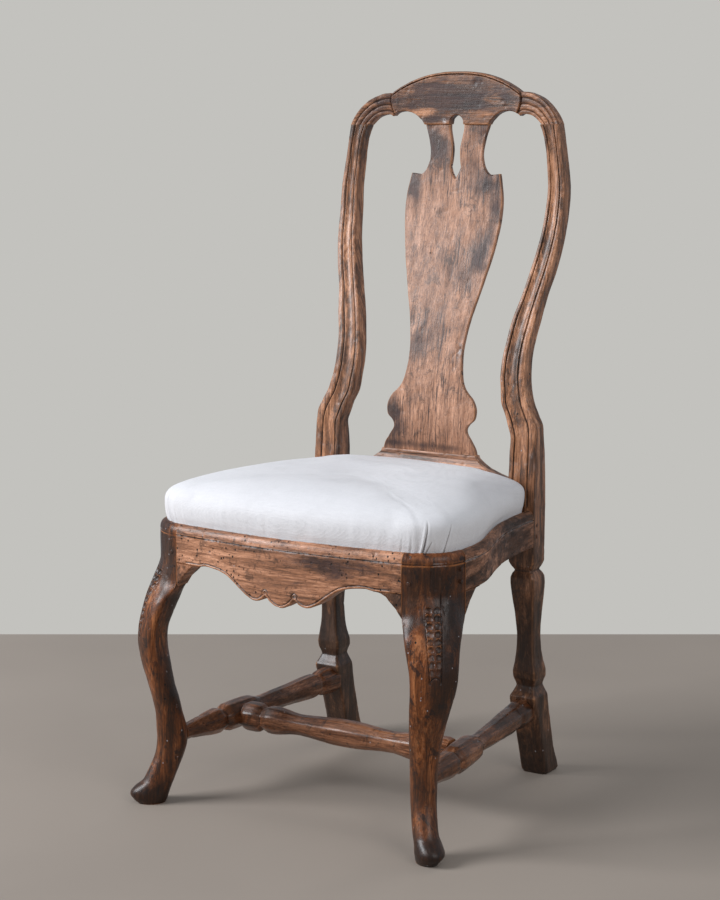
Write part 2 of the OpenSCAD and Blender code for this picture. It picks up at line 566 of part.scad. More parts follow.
// Stretchers: eight-sided bars, their sizes across the flats set along the length.
// Along the side stretcher from the front leg to the post, as shares of its length and its block.
side_bar_shares = [[0, 0.55], [0.035, 0.57], [0.11, 0.72], [0.17, 0.86], [0.21, 0.9], [0.227, 0.83],
    [0.24, 0.76], [0.252, 0.88], [0.268, 0.98], [0.3, 1], [0.38, 1], [0.41, 0.98], [0.44, 0.93],
    [0.462, 0.79], [0.478, 0.7], [0.51, 0.67], [0.61, 0.73], [0.7, 0.78], [0.79, 0.87], [0.83, 0.89],
    [0.865, 0.86], [0.882, 0.8], [0.9, 0.9], [0.93, 0.98], [1.1, 0.98]];
stretcher_in = 28;
stretcher_behind = 42;
stretcher_rear_in = 14;
stretcher_rise = 3;
stretcher_front = [foot_x - stretcher_in, foot_y + stretcher_behind, stretcher_z - stretcher_rise];
stretcher_rear = [post_mid, post_y + stretcher_rear_in, stretcher_z + stretcher_rise];
stretcher_run = norm(stretcher_rear - stretcher_front);
stretcher_turn = atan2(stretcher_front[0] - stretcher_rear[0], stretcher_rear[1] - stretcher_front[1]);
stretcher_tilt = asin((stretcher_rear[2] - stretcher_front[2]) / stretcher_run);
flats = 8;
function flat_r(size) = size / 2 / cos(180 / flats);
module bar(shares, run, size) {
    rotate([-90, 180 / flats, 0]) rotate_extrude($fn = flats)
        polygon(concat([[0, 0]], [for (p = shares) [flat_r(size * p[1]), run * p[0]]],
            [[0, run * shares[len(shares) - 1][0]]]));
}
// Flat let into the front leg for the stretcher's shoulder
stretcher_seat = 13;
module stretcher_front_seat()
    block(stretcher_front - [stretcher_seat, 0, stretcher_seat],
        stretcher_front + [stretcher_seat, trim / 10, stretcher_seat]);
stretcher_tenon = 6;
stretcher_tenon_l = 14;
module side_stretcher_tenons() {
    block(stretcher_front - [stretcher_tenon, stretcher_tenon_l, stretcher_tenon],
        stretcher_front + [stretcher_tenon, over, stretcher_tenon]);
    block(stretcher_rear - [stretcher_tenon, stretcher_tenon_l, stretcher_tenon],
        stretcher_rear + [stretcher_tenon, stretcher_tenon_l, stretcher_tenon]);
}
// The post's sloping front face near the stretcher, to trim the stretcher's end to it
module behind_post_face() {
    a = rear_leg_rings[2][0];
    b = rear_leg_rings[3][0];
    slope = (b[1] - a[1]) / (b[2] - a[2]);
    side_view([[a[1] - slope * a[2], 0], [a[1] - slope * a[2] + trim, 0],
        [b[1] + slope * (rail_z - b[2]) + trim, rail_z], [b[1] + slope * (rail_z - b[2]), rail_z]],
        0, half_w);
}
side_mid_share = 0.35;
cross_sink = 2;
cross_y = lerp(stretcher_front[1], stretcher_rear[1], side_mid_share);
cross_end = lerp(stretcher_front[0], stretcher_rear[0], side_mid_share) - side_bar / 2 + cross_sink;
cross_z = stretcher_z - cross_sink;
module cross_tenon()
    block([cross_end - over, cross_y - stretcher_tenon, cross_z - stretcher_tenon],
        [cross_end + stretcher_tenon_l, cross_y + stretcher_tenon, cross_z + stretcher_tenon]);
module right_side_stretcher() {
    color("#4e2f1e") difference() {
        union() {
            difference() {
                translate(stretcher_front) rotate([stretcher_tilt, 0, stretcher_turn])
                    bar(side_bar_shares, stretcher_run, side_bar);
                behind_post_face();
                block([0, stretcher_front[1] - trim / 10, 0], [half_w, stretcher_front[1], rail_z]);
                block([cross_end - trim / 10, cross_y - cross_flat, 0], [cross_end, cross_y + cross_flat, rail_z]);
            }
            side_stretcher_tenons();
        }
        cross_tenon();
    }
}
cross_flat = 24;
// Along the cross stretcher from the middle to its end, as shares of the half and the swelling
cross_bar_shares = [[0, 0.97], [0.12, 0.94], [0.24, 0.86], [0.36, 0.78], [0.46, 0.75], [0.54, 0.81],
    [0.615, 0.93], [0.68, 1], [0.747, 0.985], [0.786, 0.88], [0.808, 0.82], [0.835, 1], [0.88, 1.07],
    [0.967, 1.06], [1, 0.98]];
module cross_stretcher() {
    half = [for (i = [len(cross_bar_shares) - 1:-1:1]) [1 - cross_bar_shares[i][0], cross_bar_shares[i][1]]];
    line = concat(half, [for (p = cross_bar_shares) [1 + p[0], p[1]]]);
    color("#5e3a26") union() {
        translate([cross_end, cross_y, cross_z]) rotate([0, 0, 90]) bar(line, cross_end, cross_bar);
        both_sides() cross_tenon();
    }
}

// Pegs through the tenons: two on each face of a leg block, two through each post's tenon,
// and one from behind in each end of the crest
peg_zs = [lerp(tenon_z0, tenon_z1, 0.25), lerp(tenon_z0, tenon_z1, 0.8)];
peg_l = 26;
module peg(at, turn, grow, length = peg_l) translate(at) rotate(turn)
    cylinder(h = length + grow, r = peg_r + grow, $fn = 24);
module front_leg_peg_set(grow) {
    x = joint_x + tenon_l / 2;
    y = joint_y - tenon_l / 2;
    for (z = peg_zs) {
        peg([x, along_at(outline, x) + peg_l, z], [90, 0, 0], grow);
        peg([across_at(outline, y) - peg_l, y, z], [0, 90, 0], grow);
    }
}
module front_leg_peg_holes() front_leg_peg_set(peg_gap);
module post_peg_set(grow)
    for (z = peg_zs) peg([post_out - peg_l, post_y + post_tenon_l / 2, z], [0, 90, 0], grow);
module post_peg_holes() post_peg_set(peg_gap);
module crest_peg_set(grow) {
    top = upright_rings[len(upright_rings) - 1];
    mid = (top[1][0] + top[6][0]) / 2 - tenon_shift;
    back = crest_y + crest_t + (crest_end_t - crest_t) * pow(mid / crest_half, 4);
    peg([mid, bow_y(mid, back), post_top + post_tenon_h / 2], [90, 0, 0], grow, crest_peg_l);
}
crest_peg_l = 17;
module crest_peg_holes() crest_peg_set(peg_gap);

// Lift-out seat: a half-lapped frame, two layers of webbing, hessian, stuffing and linen.
// Its outline follows the lip, with its rear corners notched around the posts.
seat_half = beside(half_outline, lip_w + seat_gap);
seat_notch_y = post_y - seat_gap;
seat_rear_y = shoe_y - seat_gap;
seat_notch_x = post_in - seat_gap;
seat_ease = 20;
function seat_line(points, grow) = let(y = seat_notch_y + grow, x = across_at(points, y - seat_ease))
    concat([for (p = points) if (p[1] < y - 1.1 * seat_ease) p], [[x, y - 0.9 * seat_ease],
    [x - 0.2 * seat_ease, y - 0.35 * seat_ease], [x - 0.65 * seat_ease, y],
    [seat_notch_x + grow, y], [seat_notch_x + grow, seat_rear_y + grow]]);
cover_plan = concat(seat_line(seat_half, 0), [for (t = [0.8, 0.5, 0.2]) [seat_notch_x * t, seat_rear_y]]);
frame_plan = seat_line(beside(half_outline, lip_w + seat_gap + cloth_t + soft_gap), -cloth_t - soft_gap);
hem_z = rebate_z + soft_gap;
frame_z0 = hem_z + cloth_t;
frame_z1 = frame_z0 + member_t;
web_z = frame_z1 + 2 * web_t;
stuff_z = web_z + cloth_t;
member_extra = 12;
member_in = 10;
well_taper = 20;
member_front_y = seat_half[0][1] + member_w + member_extra;
member_rear_y = seat_rear_y - member_w;
member_side_front = across_at(seat_half, joint_y) - member_w;
member_side_rear = seat_notch_x - member_in;
module frame_region(z0, z1) plan(whole_closed(frame_plan), z0, z1);
function whole_closed(points) = concat([for (i = [len(points) - 1:-1:0]) if (points[i][0] > 0)
    [-points[i][0], points[i][1]]], points);
module frame_well(z0, z1)
    plan([[-member_side_front, joint_y], [-member_side_front + well_taper, member_front_y],
        [member_side_front - well_taper, member_front_y], [member_side_front, joint_y],
        [member_side_rear, member_rear_y], [-member_side_rear, member_rear_y]], z0, z1);
lap_z = (frame_z0 + frame_z1) / 2;
module side_zone(z0, z1) plan([[member_side_front, joint_y - trim], [half_w + over, joint_y - trim],
    [half_w + over, post_y + trim], [member_side_rear, post_y + trim], [member_side_rear, member_rear_y],
    [member_side_front, joint_y]], z0, z1);
module frame_end(y0, y1) {
    difference() {
        intersection() {
            frame_region(frame_z0, frame_z1);
            block([-half_w, y0, frame_z0 - over], [half_w, y1, frame_z1 + over]);
        }
        frame_well(frame_z0 - over, frame_z1 + over);
        both_sides() side_zone(lap_z, frame_z1 + over);
    }
}
module seat_frame_front() color("#c19a6b") frame_end(front_y, member_front_y);
module seat_frame_rear() color("#c19a6b") frame_end(member_rear_y, post_y + trim);
module seat_frame_right() {
    color("#bd9566") difference() {
        intersection() {
            frame_region(frame_z0, frame_z1);
            side_zone(frame_z0 - over, frame_z1 + over);
        }
        block([0, front_y, frame_z0 - over], [half_w + over, member_front_y, lap_z]);
        block([0, member_rear_y, frame_z0 - over], [half_w + over, post_y + trim, lap_z]);
        frame_well(frame_z0 - over, frame_z1 + over);
    }
}
// Webbing strips reach half way over the frame's members
web_edge = member_w / 2;
web_count = 3;
cross_count = 4;
module long_webbing() {
    pitch = 2 * member_side_rear / web_count;
    color("#b9a583") for (i = [0:web_count - 1]) let(x = (i - (web_count - 1) / 2) * pitch)
        block([x - web_w / 2, member_front_y - web_edge, frame_z1],
            [x + web_w / 2, member_rear_y + web_edge, frame_z1 + web_t]);
}
module cross_webbing() {
    run = member_rear_y - member_front_y;
    color("#b39e7b") for (i = [0:cross_count - 1])
        let(y = member_front_y + run * (i + 0.5) / cross_count,
            reach = lerp(member_side_front, member_side_rear, (i + 0.5) / cross_count) + web_edge)
        block([-reach, y - web_w / 2, frame_z1 + web_t], [reach, y + web_w / 2, web_z]);
}
module hessian() {
    color("#a98f63") translate([0, seat_mid_y, web_z]) linear_extrude(cloth_t)
        polygon([for (p = whole_closed(frame_plan)) 0.95 * (p - [0, seat_mid_y])]);
}

// Cushion rings: height share of the crown above the lip, spread share about the seat's middle
seat_mid_y = lerp(front_y, post_y, 0.5);
corner_drop = 0.1;
crown_shares = [[0.12, 0, 0.5], [0.32, 0, 0.95], [0.5, 0, 1], [0.64, 0.012, 0.8], [0.76, 0.045, 0.4],
    [0.86, 0.11, 0], [0.93, 0.22, 0], [0.975, 0.42, 0], [1, 0.7, 0]];
function cushion_point(p, r, inset) =
    let(out = unit([p[0], p[1] - seat_mid_y]), s = 1 - r[1], rear = p[1] > seat_notch_y - 0.4 * seat_ease,
        drop = corner_drop * pow(max(p[1] - seat_mid_y, 0) / (seat_rear_y - seat_mid_y), 6)
            * pow(min(abs(p[0]) / seat_notch_x, 1), 6) * max(0, 1 - r[1] / 0.7))
    [p[0] * s + out[0] * (swell * r[2] * (rear ? 0.2 : 1) - inset), seat_mid_y + (p[1] - seat_mid_y) * s
        + (rear ? -inset : out[1] * (swell * r[2] - inset)), seat_h + (crown_h - inset) * r[0] * (1 - drop)];
cover_ring = whole_closed(cover_plan);
function cushion_rings(inset) = [for (r = crown_shares) [for (p = cover_ring) cushion_point(p, r, inset)]];
function rings_down(rings) = [for (i = [len(rings) - 1:-1:0]) rings[i]];
function flat_ring(inset, z) = [for (p = cover_ring) let(out = unit([p[0], p[1] - seat_mid_y]))
    [p[0] - out[0] * inset, p[1] - out[1] * inset, z]];
module stuffing() {
    color("#8c7653") loft(concat([flat_ring(web_edge, stuff_z), flat_ring(cloth_t + stuff_gap, stuff_z + web_t)],
        [for (i = [1:len(crown_shares) - 1]) cushion_rings(cloth_t + stuff_gap)[i]]));
}
// The cover is one skin: up the outside, over the crown, and back down inside
module linen_cover() {
    outside = concat([flat_ring(hem_w, hem_z), flat_ring(0, hem_z), flat_ring(0, seat_h)], cushion_rings(0));
    inside = concat(rings_down(cushion_rings(cloth_t)), [flat_ring(cloth_t, seat_h), flat_ring(cloth_t, frame_z0 - soft_gap / 2),
        flat_ring(hem_w, frame_z0 - soft_gap / 2)]);
    n = len(cover_ring);
    up = len(outside);
    down = len(inside);
    low = up * n;
    in0 = low + 1;
    pole = in0 + down * n;
    top = outside[up - 1];
    middle = [0, seat_mid_y, top[0][2]];
    color("#ece9e2") polyhedron(
        points = concat([for (r = outside) for (p = r) p], [middle], [for (r = inside) for (p = r) p],
            [middle - [0, 0, cloth_t]]),
        faces = concat(
            [for (j = [0:up - 2]) for (k = [0:n - 1]) let(a = j * n + k, b = j * n + (k + 1) % n)
                each [[a, a + n, b + n], [a, b + n, b]]],
            [for (k = [0:n - 1]) [(up - 1) * n + k, low, (up - 1) * n + (k + 1) % n]],
            [for (k = [0:n - 1]) [in0 + (k + 1) % n, pole, in0 + k]],
            [for (j = [0:down - 2]) for (k = [0:n - 1])
                let(a = in0 + j * n + k, b = in0 + j * n + (k + 1) % n)
                each [[a, a + n, b], [b, a + n, b + n]]],
            [for (k = [0:n - 1]) let(a = in0 + (down - 1) * n + k, b = in0 + (down - 1) * n + (k + 1) % n)
                each [[a, k, (k + 1) % n], [a, (k + 1) % n, b]]]));
}
// Tacks hold the hem to the frame's underside, clear of the rebate's ledge
tack_head = 0.8;
tack_l = 9;
tack_in = 33;
module cover_tacks() {
    line = whole_closed(beside(outline, lip_w + seat_gap + tack_in));
    color("#4a4745") for (i = [2:3:len(line) - 3])
        if (abs(line[i][0]) < joint_x - 2 * tack_r || line[i][1] > joint_y + 2 * tack_r)
            translate([line[i][0], line[i][1], hem_z - tack_head]) {
                cylinder(h = tack_head, r = tack_r, $fn = 16);
                cylinder(h = tack_head + tack_l, r = tack_r / 4, $fn = 16);
            }
}

front_rail();
rear_rail();
mirror([1, 0, 0]) right_side_rail();  // left_side_rail
right_side_rail();
mirror([1, 0, 0]) right_front_leg();  // left_front_leg
right_front_leg();
mirror([1, 0, 0]) right_front_bracket();  // left_front_bracket
right_front_bracket();
mirror([1, 0, 0]) right_side_bracket();  // left_side_bracket
right_side_bracket();
mirror([1, 0, 0]) right_post();  // left_post
right_post();
crest_rail();
splat();
splat_shoe();
mirror([1, 0, 0]) right_side_stretcher();  // left_side_stretcher
right_side_stretcher();
cross_stretcher();
color("#3b2517") both_sides() front_leg_peg_set(0);  // front_leg_pegs
color("#3b2517") both_sides() post_peg_set(0);  // post_pegs
color("#3b2517") both_sides() crest_peg_set(0);  // crest_pegs
seat_frame_front();
seat_frame_rear();
mirror([1, 0, 0]) seat_frame_right();  // seat_frame_left
seat_frame_right();
long_webbing();
cross_webbing();
hessian();
stuffing();
linen_cover();
cover_tacks();
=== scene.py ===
import math

import bmesh
import bpy
import numpy as np
from bpy.props import FloatProperty, FloatVectorProperty, IntProperty, PointerProperty
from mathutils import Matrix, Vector


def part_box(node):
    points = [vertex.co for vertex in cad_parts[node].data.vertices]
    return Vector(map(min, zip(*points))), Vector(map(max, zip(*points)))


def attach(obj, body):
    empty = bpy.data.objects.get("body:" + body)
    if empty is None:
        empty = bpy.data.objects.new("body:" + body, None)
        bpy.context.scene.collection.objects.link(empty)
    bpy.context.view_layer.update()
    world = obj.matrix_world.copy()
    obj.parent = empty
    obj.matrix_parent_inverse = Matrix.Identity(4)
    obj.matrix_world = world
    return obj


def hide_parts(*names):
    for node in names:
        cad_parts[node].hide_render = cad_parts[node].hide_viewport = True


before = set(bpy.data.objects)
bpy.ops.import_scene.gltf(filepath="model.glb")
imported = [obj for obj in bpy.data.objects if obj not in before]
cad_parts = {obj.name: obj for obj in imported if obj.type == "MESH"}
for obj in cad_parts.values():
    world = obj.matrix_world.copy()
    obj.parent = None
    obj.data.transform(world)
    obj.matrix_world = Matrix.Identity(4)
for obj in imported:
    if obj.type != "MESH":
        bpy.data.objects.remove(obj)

# Looks of a carved side chair: worn, waxed wood and a lift-out seat in plain linen.
# Tables are in millimetres, in the model's frame; meshes are made in metres.

bl_info = {
    "name": "Rococo side chair",
    "version": (1, 0, 0),
    "blender": (4, 5, 0),
    "location": "3D View > Sidebar > Chair",
    "description": "Builds the worn wood and the linen seat of a carved side chair around its frame",
    "category": "Object",
}

MM = 0.001

# ---------------------------------------------------------------- sizes of the chair, as in the frame

FRONT_Y = -252.87
SEAT_D = 395.0
HALF_W = 254.0
POST_OUT = 197.0
POST_IN = 153.0
POST_W = 44.0
POST_T = 39.0
SEAT_H = 423.0
RAIL_Z = 366.0
REBATE_Z = 411.0
RAIL_T = 31.0
LIP_W = 10.0
LIP_RISE = 13.6
LIP_REACH = 9.5
GROOVE = 1.5
GROOVE_Z = SEAT_H - LIP_RISE - 1.2
JOINT_X = 190.0
JOINT_Y = FRONT_Y + 86.0
POST_Y = FRONT_Y + SEAT_D
REAR_RAIL_Y = POST_Y + 5.0
FOOT = (238.0, FRONT_Y + 15.0)
KNEE_W = 68.0
KNEE_Z = 332.0
CREST_Z = 995.0
CREST_RISE = 81.0
CREST_Y = POST_Y + 87.5
CREST_BOW = 18.0
CREST_HALF = POST_OUT * 0.9355
SHOE_TOP = 493.0
PEG_L = 26.0
CREST_PEG_L = 17.0
DIAGONAL = math.sqrt(0.5)

FRONT_CURVE = [(0, 0.018), (0.16, 0.0204), (0.42, 0.0325), (0.748, 0.0557), (0.835, 0.0734), (0.9055, 0.1),
               (0.9646, 0.1405), (0.99, 0.19)]
SIDE_CURVE = [(1, 0.248), (0.982, 0.329), (0.886, 0.405), (0.737, 0.473), (0.561, 0.544), (0.404, 0.615),
              (0.263, 0.686), (0.158, 0.762), (0.082, 0.843), (0.03, 0.924), (0, 1)]
APRON_MIDDLE = [(0, 0.98), (0.042, 0.94), (0.09, 0.81), (0.124, 0.66), (0.131, 0.64)]
APRON_OUTER = [(0.131, 0.64), (0.142, 0.68), (0.165, 0.775), (0.195, 0.835), (0.24, 0.85), (0.288, 0.78),
               (0.346, 0.62), (0.415, 0.39), (0.49, 0.16), (0.56, 0.04), (0.63, -0.02), (0.71, -0.05), (0.78, 0),
               (1, 0)]
LEG_RINGS = [(0, 0.294, -0.309, 0.221, -0.015, 0), (0.011, 0.368, -0.346, 0.243, -0.007, 0),
             (0.036, 0.456, -0.397, 0.301, 0.029, 0), (0.06, 0.397, -0.441, 0.287, 0.022, 0),
             (0.093, 0.176, -0.507, 0.262, 0, 0), (0.137, 0.044, -0.603, 0.262, 0.003, 0),
             (0.197, -0.096, -0.735, 0.265, 0.018, 0), (0.249, -0.147, -0.809, 0.271, 0.032, 0),
             (0.311, -0.143, -0.794, 0.279, 0.029, 0), (0.369, -0.125, -0.713, 0.301, 0.028, 0.05),
             (0.426, -0.066, -0.647, 0.331, 0.025, 0.15), (0.492, 0.029, -0.551, 0.368, 0.029, 0.35),
             (0.574, 0.147, -0.478, 0.422, 0.056, 0.7), (0.656, 0.221, -0.426, 0.475, 0.099, 1),
             (0.724, 0.213, -0.449, 0.504, 0.115, 1), (0.784, 0.147, -0.566, 0.54, 0.121, 1),
             (0.825, 0.081, -0.669, 0.574, 0.125, 1), (0.863, 0.007, -0.772, 0.603, 0.162, 1)]
LEG_SQUARE = [(0, 0), (0.05, 0.34), (0.15, 0.7), (0.27, 0.94), (0.42, 1), (0.6, 0.76), (0.78, 0.5), (0.93, 0.24),
              (1, 0)]
KNEE = [(0, 0.206, 1), (0.24, 0.15, 0.5), (0.44, 0.1, 0.16), (0.65, 0.055, 0.02), (0.85, 0.015, 0), (1, 0, 0)]
KNEE_PUSH = [1, 0.94, 0.75, 0.42, 0, 0, 0, 0, 0, 0, 0, 0, 0, 0.42, 0.75, 0.94, 1]
KNEE_SCRATCHES = [((13.5, 352.0), (17.5, 338.0)), ((15.5, 350.0), (20.0, 340.0)), ((-2.0, 404.0), (-3.5, 372.0))]
REAR_LEG = [(0, 0.136, 1, 0.932, 1.079, 0.184), (0.016, 0.13, 0.942, 0.977, 1.132, 0.184),
            (0.096, 0.102, 0.767, 0.943, 1.079, 0.184), (0.137, 0.098, 0.651, 0.943, 1.079, 0.184),
            (0.246, 0.091, 0.379, 0.955, 1.111, 0.158), (0.306, 0.08, 0.2, 0.989, 1.147, 0.132),
            (0.355, 0.077, 0.093, 1, 1.158, 0.079), (0.377, 0.077, 0.209, 0.841, 0.974, 0.079),
            (0.399, 0.077, 0.312, 0.705, 0.816, 0.079), (0.415, 0.077, 0.279, 0.761, 0.882, 0.079),
            (0.434, 0.077, 0.219, 0.864, 1, 0.079), (0.464, 0.077, 0.181, 0.875, 1.013, 0.079),
            (0.505, 0.077, 0.205, 0.761, 0.882, 0.079), (0.552, 0.077, 0.228, 0.677, 0.784, 0.079),
            (0.626, 0.075, 0.228, 0.641, 0.742, 0.079), (0.71, 0.073, 0.158, 0.727, 0.842, 0.079),
            (0.781, 0.068, 0.058, 0.841, 0.974, 0.079), (0.833, 0.064, -0.012, 0.909, 1.053, 0.079),
            (0.866, 0.059, -0.023, 0.898, 1.039, 0.079), (0.883, 0.052, 0.023, 0.795, 0.921, 0.079),
            (0.896, 0.045, 0.086, 0.659, 0.763, 0.079), (0.913, 0.023, 0.023, 0.818, 0.947, 0.079),
            (0.932, 0.005, 0, 0.977, 1, 0.079), (1, 0, 0, 1, 1, 0.039)]
UPRIGHT = [(0, 0, 0, 1, 1), (0.082, 0, 0, 1, 0.974), (0.143, 0.009, 0.029, 1, 0.859),
           (0.189, 0.014, 0.055, 0.982, 0.769), (0.219, 0.102, 0.08, 1.091, 0.718),
           (0.24, 0.222, 0.097, 1.057, 0.692), (0.274, 0.432, 0.126, 1.045, 0.679),
           (0.309, 0.534, 0.16, 0.977, 0.667), (0.344, 0.602, 0.2, 0.955, 0.667),
           (0.388, 0.611, 0.257, 0.927, 0.654), (0.432, 0.557, 0.326, 0.886, 0.654),
           (0.484, 0.443, 0.406, 0.886, 0.654), (0.554, 0.256, 0.537, 0.784, 0.654),
           (0.624, 0.045, 0.657, 0.773, 0.654), (0.694, -0.114, 0.777, 0.727, 0.654),
           (0.764, -0.184, 0.891, 0.686, 0.654), (0.834, -0.199, 0.954, 0.648, 0.641),
           (0.895, -0.114, 0.983, 0.614, 0.628), (0.93, -0.051, 0.99, 0.589, 0.615),
           (0.965, 0.027, 0.994, 0.614, 0.603), (0.984, 0.089, 0.998, 0.664, 0.59), (1, 0.15, 1, 0.723, 0.577)]
CREST_TOP = [(0, 1), (0.091, 0.996), (0.178, 0.975), (0.264, 0.938), (0.335, 0.889), (0.406, 0.827),
             (0.467, 0.759), (0.528, 0.679), (0.579, 0.599), (0.614, 0.605), (0.68, 0.574), (0.766, 0.488),
             (0.812, 0.407), (0.853, 0.315), (0.888, 0.21), (0.914, 0.111), (0.936, 0)]
CREST_LOW = [(0, 0.179), (0.025, 0.167), (0.048, 0.123), (0.061, 0.062), (0.063, 0), (0.287, 0), (0.302, 0.056),
             (0.325, 0.111), (0.36, 0.185), (0.406, 0.235), (0.457, 0.253), (0.508, 0.244), (0.543, 0.216),
             (0.569, 0.16), (0.599, 0.195), (0.655, 0.185), (0.701, 0.148), (0.731, 0.099), (0.756, 0.043),
             (0.774, 0)]
# For each point along the crest's top, the place along its lower edge that faces it
CREST_PAIRS = [0, 4.15, 4.6, 4.95, 7.2, 9, 10.2, 11.6, 13, 14, 15, 16, 17, 17.7, 18.3, 18.8, 19]
SPLAT_EDGE = [(0.965, 0), (0.93, 0.02), (0.843, 0.044), (0.767, 0.064), (0.756, 0.078), (0.802, 0.092),
              (0.89, 0.106), (0.919, 0.125), (0.907, 0.145), (0.831, 0.169), (0.703, 0.191), (0.628, 0.211),
              (0.581, 0.239), (0.556, 0.277), (0.55, 0.317), (0.576, 0.359), (0.628, 0.41), (0.709, 0.466),
              (0.802, 0.53), (0.895, 0.6), (0.965, 0.669), (1, 0.729), (0.992, 0.779), (0.948, 0.821),
              (0.913, 0.851), (0.756, 0.847), (0.669, 0.852), (0.593, 0.869), (0.547, 0.894), (0.538, 0.92),
              (0.581, 0.96), (0.657, 1)]
SPLAT_HOLE = [(0, 0.833), (0.07, 0.853), (0.105, 0.871), (0.084, 0.892), (0.073, 0.926), (0.11, 0.958),
              (0.143, 0.984), (0.145, 1)]
SPLAT_SCRATCHES = [((14, 868), (62, 828), 0.5), ((20, 862), (66, 806), 0.4), ((-26, 860), (-8, 862), 0.6),
                   ((30, 640), (44, 655), 0.6), ((8, 600), (40, 575), 0.3)]
SPLAT_LEAN = [(-0.08, 0), (0, 0), (0.06, 0.005), (0.13, 0.04), (0.21, 0.11), (0.29, 0.2), (0.37, 0.31),
              (0.45, 0.43), (0.53, 0.56), (0.61, 0.68), (0.69, 0.79), (0.77, 0.87), (0.85, 0.93), (0.93, 0.97),
              (1, 1), (1.06, 1.02)]
SPLAT_Y = POST_Y + 25.0
SPLAT_HALF = 86.0
SHOE_END = [(1, 0), (1, 0.52), (0.9, 0.57), (0.8, 0.64), (0.69, 0.73), (0.61, 0.84), (0.56, 0.93), (0.55, 1)]
SHOE_FACE = [(0, 0), (0, 0.5), (0.05, 0.56), (0.2, 0.62), (0.3, 0.64), (0.34, 0.7), (0.46, 0.8), (0.66, 0.88),
             (0.7, 0.89), (0.7, 0.97), (0.76, 1)]
SIDE_BAR = [(0, 0.55), (0.035, 0.57), (0.11, 0.72), (0.17, 0.86), (0.21, 0.9), (0.227, 0.83), (0.24, 0.76),
            (0.252, 0.88), (0.268, 0.98), (0.3, 1), (0.38, 1), (0.41, 0.98), (0.44, 0.93), (0.462, 0.79),
            (0.478, 0.7), (0.51, 0.67), (0.61, 0.73), (0.7, 0.78), (0.79, 0.87), (0.83, 0.89), (0.865, 0.86),
            (0.882, 0.8), (0.9, 0.9), (0.93, 0.98), (1.0, 0.98)]
CROSS_BAR = [(0, 0.97), (0.12, 0.94), (0.24, 0.86), (0.36, 0.78), (0.46, 0.75), (0.54, 0.81), (0.615, 0.93),
             (0.68, 1), (0.747, 0.985), (0.786, 0.88), (0.808, 0.82), (0.835, 1), (0.88, 1.07), (0.967, 1.06),
             (1, 0.98)]
BAR_FRONT = (210.0, FOOT[1] + 42.0, 100.0)
BAR_REAR = (175.0, POST_Y + 14.0, 106.0)
# The cover's inside at the hessian, then round the frame's edge and the hem: inset and height
INSIDE_SPREADS = (0.05, 0.38, 0.74, 0.96)
INSIDE_Z = 436.2
HEM = [(1.2, 435.5), (1.1, 430), (1.1, 420), (1.1, 413.2), (6, 412.5), (18, 412.5), (30, 412.5), (37.5, 412.4),
       (38, 411.9), (37.5, 411.4), (28, 411.3), (16, 411.3), (6, 411.3), (1.2, 411.5), (0.2, 412.4), (0, 414.5),
       (0, 418), (0, 421.5), (-0.4, 425)]
HELD_Z = 428.0
CROWN = [(0.12, 0, 0.5), (0.32, 0, 0.95), (0.5, 0, 1), (0.64, 0.012, 0.8), (0.76, 0.045, 0.4), (0.86, 0.11, 0),
         (0.93, 0.22, 0), (0.975, 0.42, 0), (1, 0.7, 0)]
BRACKET = [(0, 0), (0.28, 0.07), (0.52, 0.3), (0.76, 0.6), (1, 1)]


# ---------------------------------------------------------------- curves and meshes

def along(points, at):
    """Points of a smooth curve through `points` at places `at`, from 0 to the last index."""
    p = np.asarray(points, float)
    at = np.asarray(at, float)
    last = len(p) - 1
    i = np.clip(np.floor(at).astype(int), 0, last - 1)
    t = (at - i)[:, None]
    a, b, c, d = (p[np.clip(i + k, 0, last)] for k in (-1, 0, 1, 2))
    return 0.5 * (2 * b + (c - a) * t + (2 * a - 5 * b + 4 * c - d) * t ** 2 + (3 * b - a - 3 * c + d) * t ** 3)


def along_with_corners(points, at, corners):
    """Like along, but the curve keeps a sharp corner at each index in `corners`."""
    cuts = [0] + list(corners) + [len(points) - 1]
    at = np.asarray(at, float)
    out = np.zeros((len(at), np.asarray(points).shape[1]))
    for low, high in zip(cuts[:-1], cuts[1:]):
        inside = (at >= low) & (at <= high)
        if inside.any():
            out[inside] = along(points[low:high + 1], at[inside] - low)
    return out


def smooth_table(table, at):
    """Rows of a table at given values of its rising first column, on a smooth curve."""
    p = np.asarray(table, float)
    rows = along(p, np.interp(at, p[:, 0], np.arange(len(p))))
    rows[:, 0] = at
    return rows


def fine_places(table, per_part):
    """Places along a table, `per_part` to each of its rows."""
    return np.linspace(0, len(table) - 1, (len(table) - 1) * per_part + 1)


def run_of(line):
    """Distance along a flat line at each of its points."""
    return np.concatenate([[0], np.cumsum(np.hypot(*np.diff(line, axis=0).T))])


def on_line(at, run, line):
    """Points of a flat line at distances `at` along it."""
    return np.stack([np.interp(at, run, line[:, d]) for d in (0, 1)], 1)


def between(a, b, count):
    """Points on the way from a to b, without its ends."""
    return a + (b - a) * np.linspace(0, 1, count + 2)[1:-1, None]


def rounded_edge(radius, first=0):
    """Inset and rise round a quarter circle, from `first` degrees."""
    return [(radius * (1 - math.sin(a)), radius * (1 - math.cos(a))) for a in np.radians(np.linspace(first, 90, 6))]


def fill(loops, k, x, y, z):
    """Sets point k of every loop, each of x, y and z one number or one for each loop."""
    for axis, value in enumerate((x, y, z)):
        loops[:, k, axis] = value


def steps(*spans):
    """Rising values from (start, end, count) spans, each without its end except the last."""
    parts = [np.linspace(a, b, n, endpoint=False) for a, b, n in spans]
    return np.concatenate(parts + [[spans[-1][1]]])


def add_object(name, data):
    made = bpy.data.objects.new(name, data)
    bpy.context.scene.collection.objects.link(made)
    return made


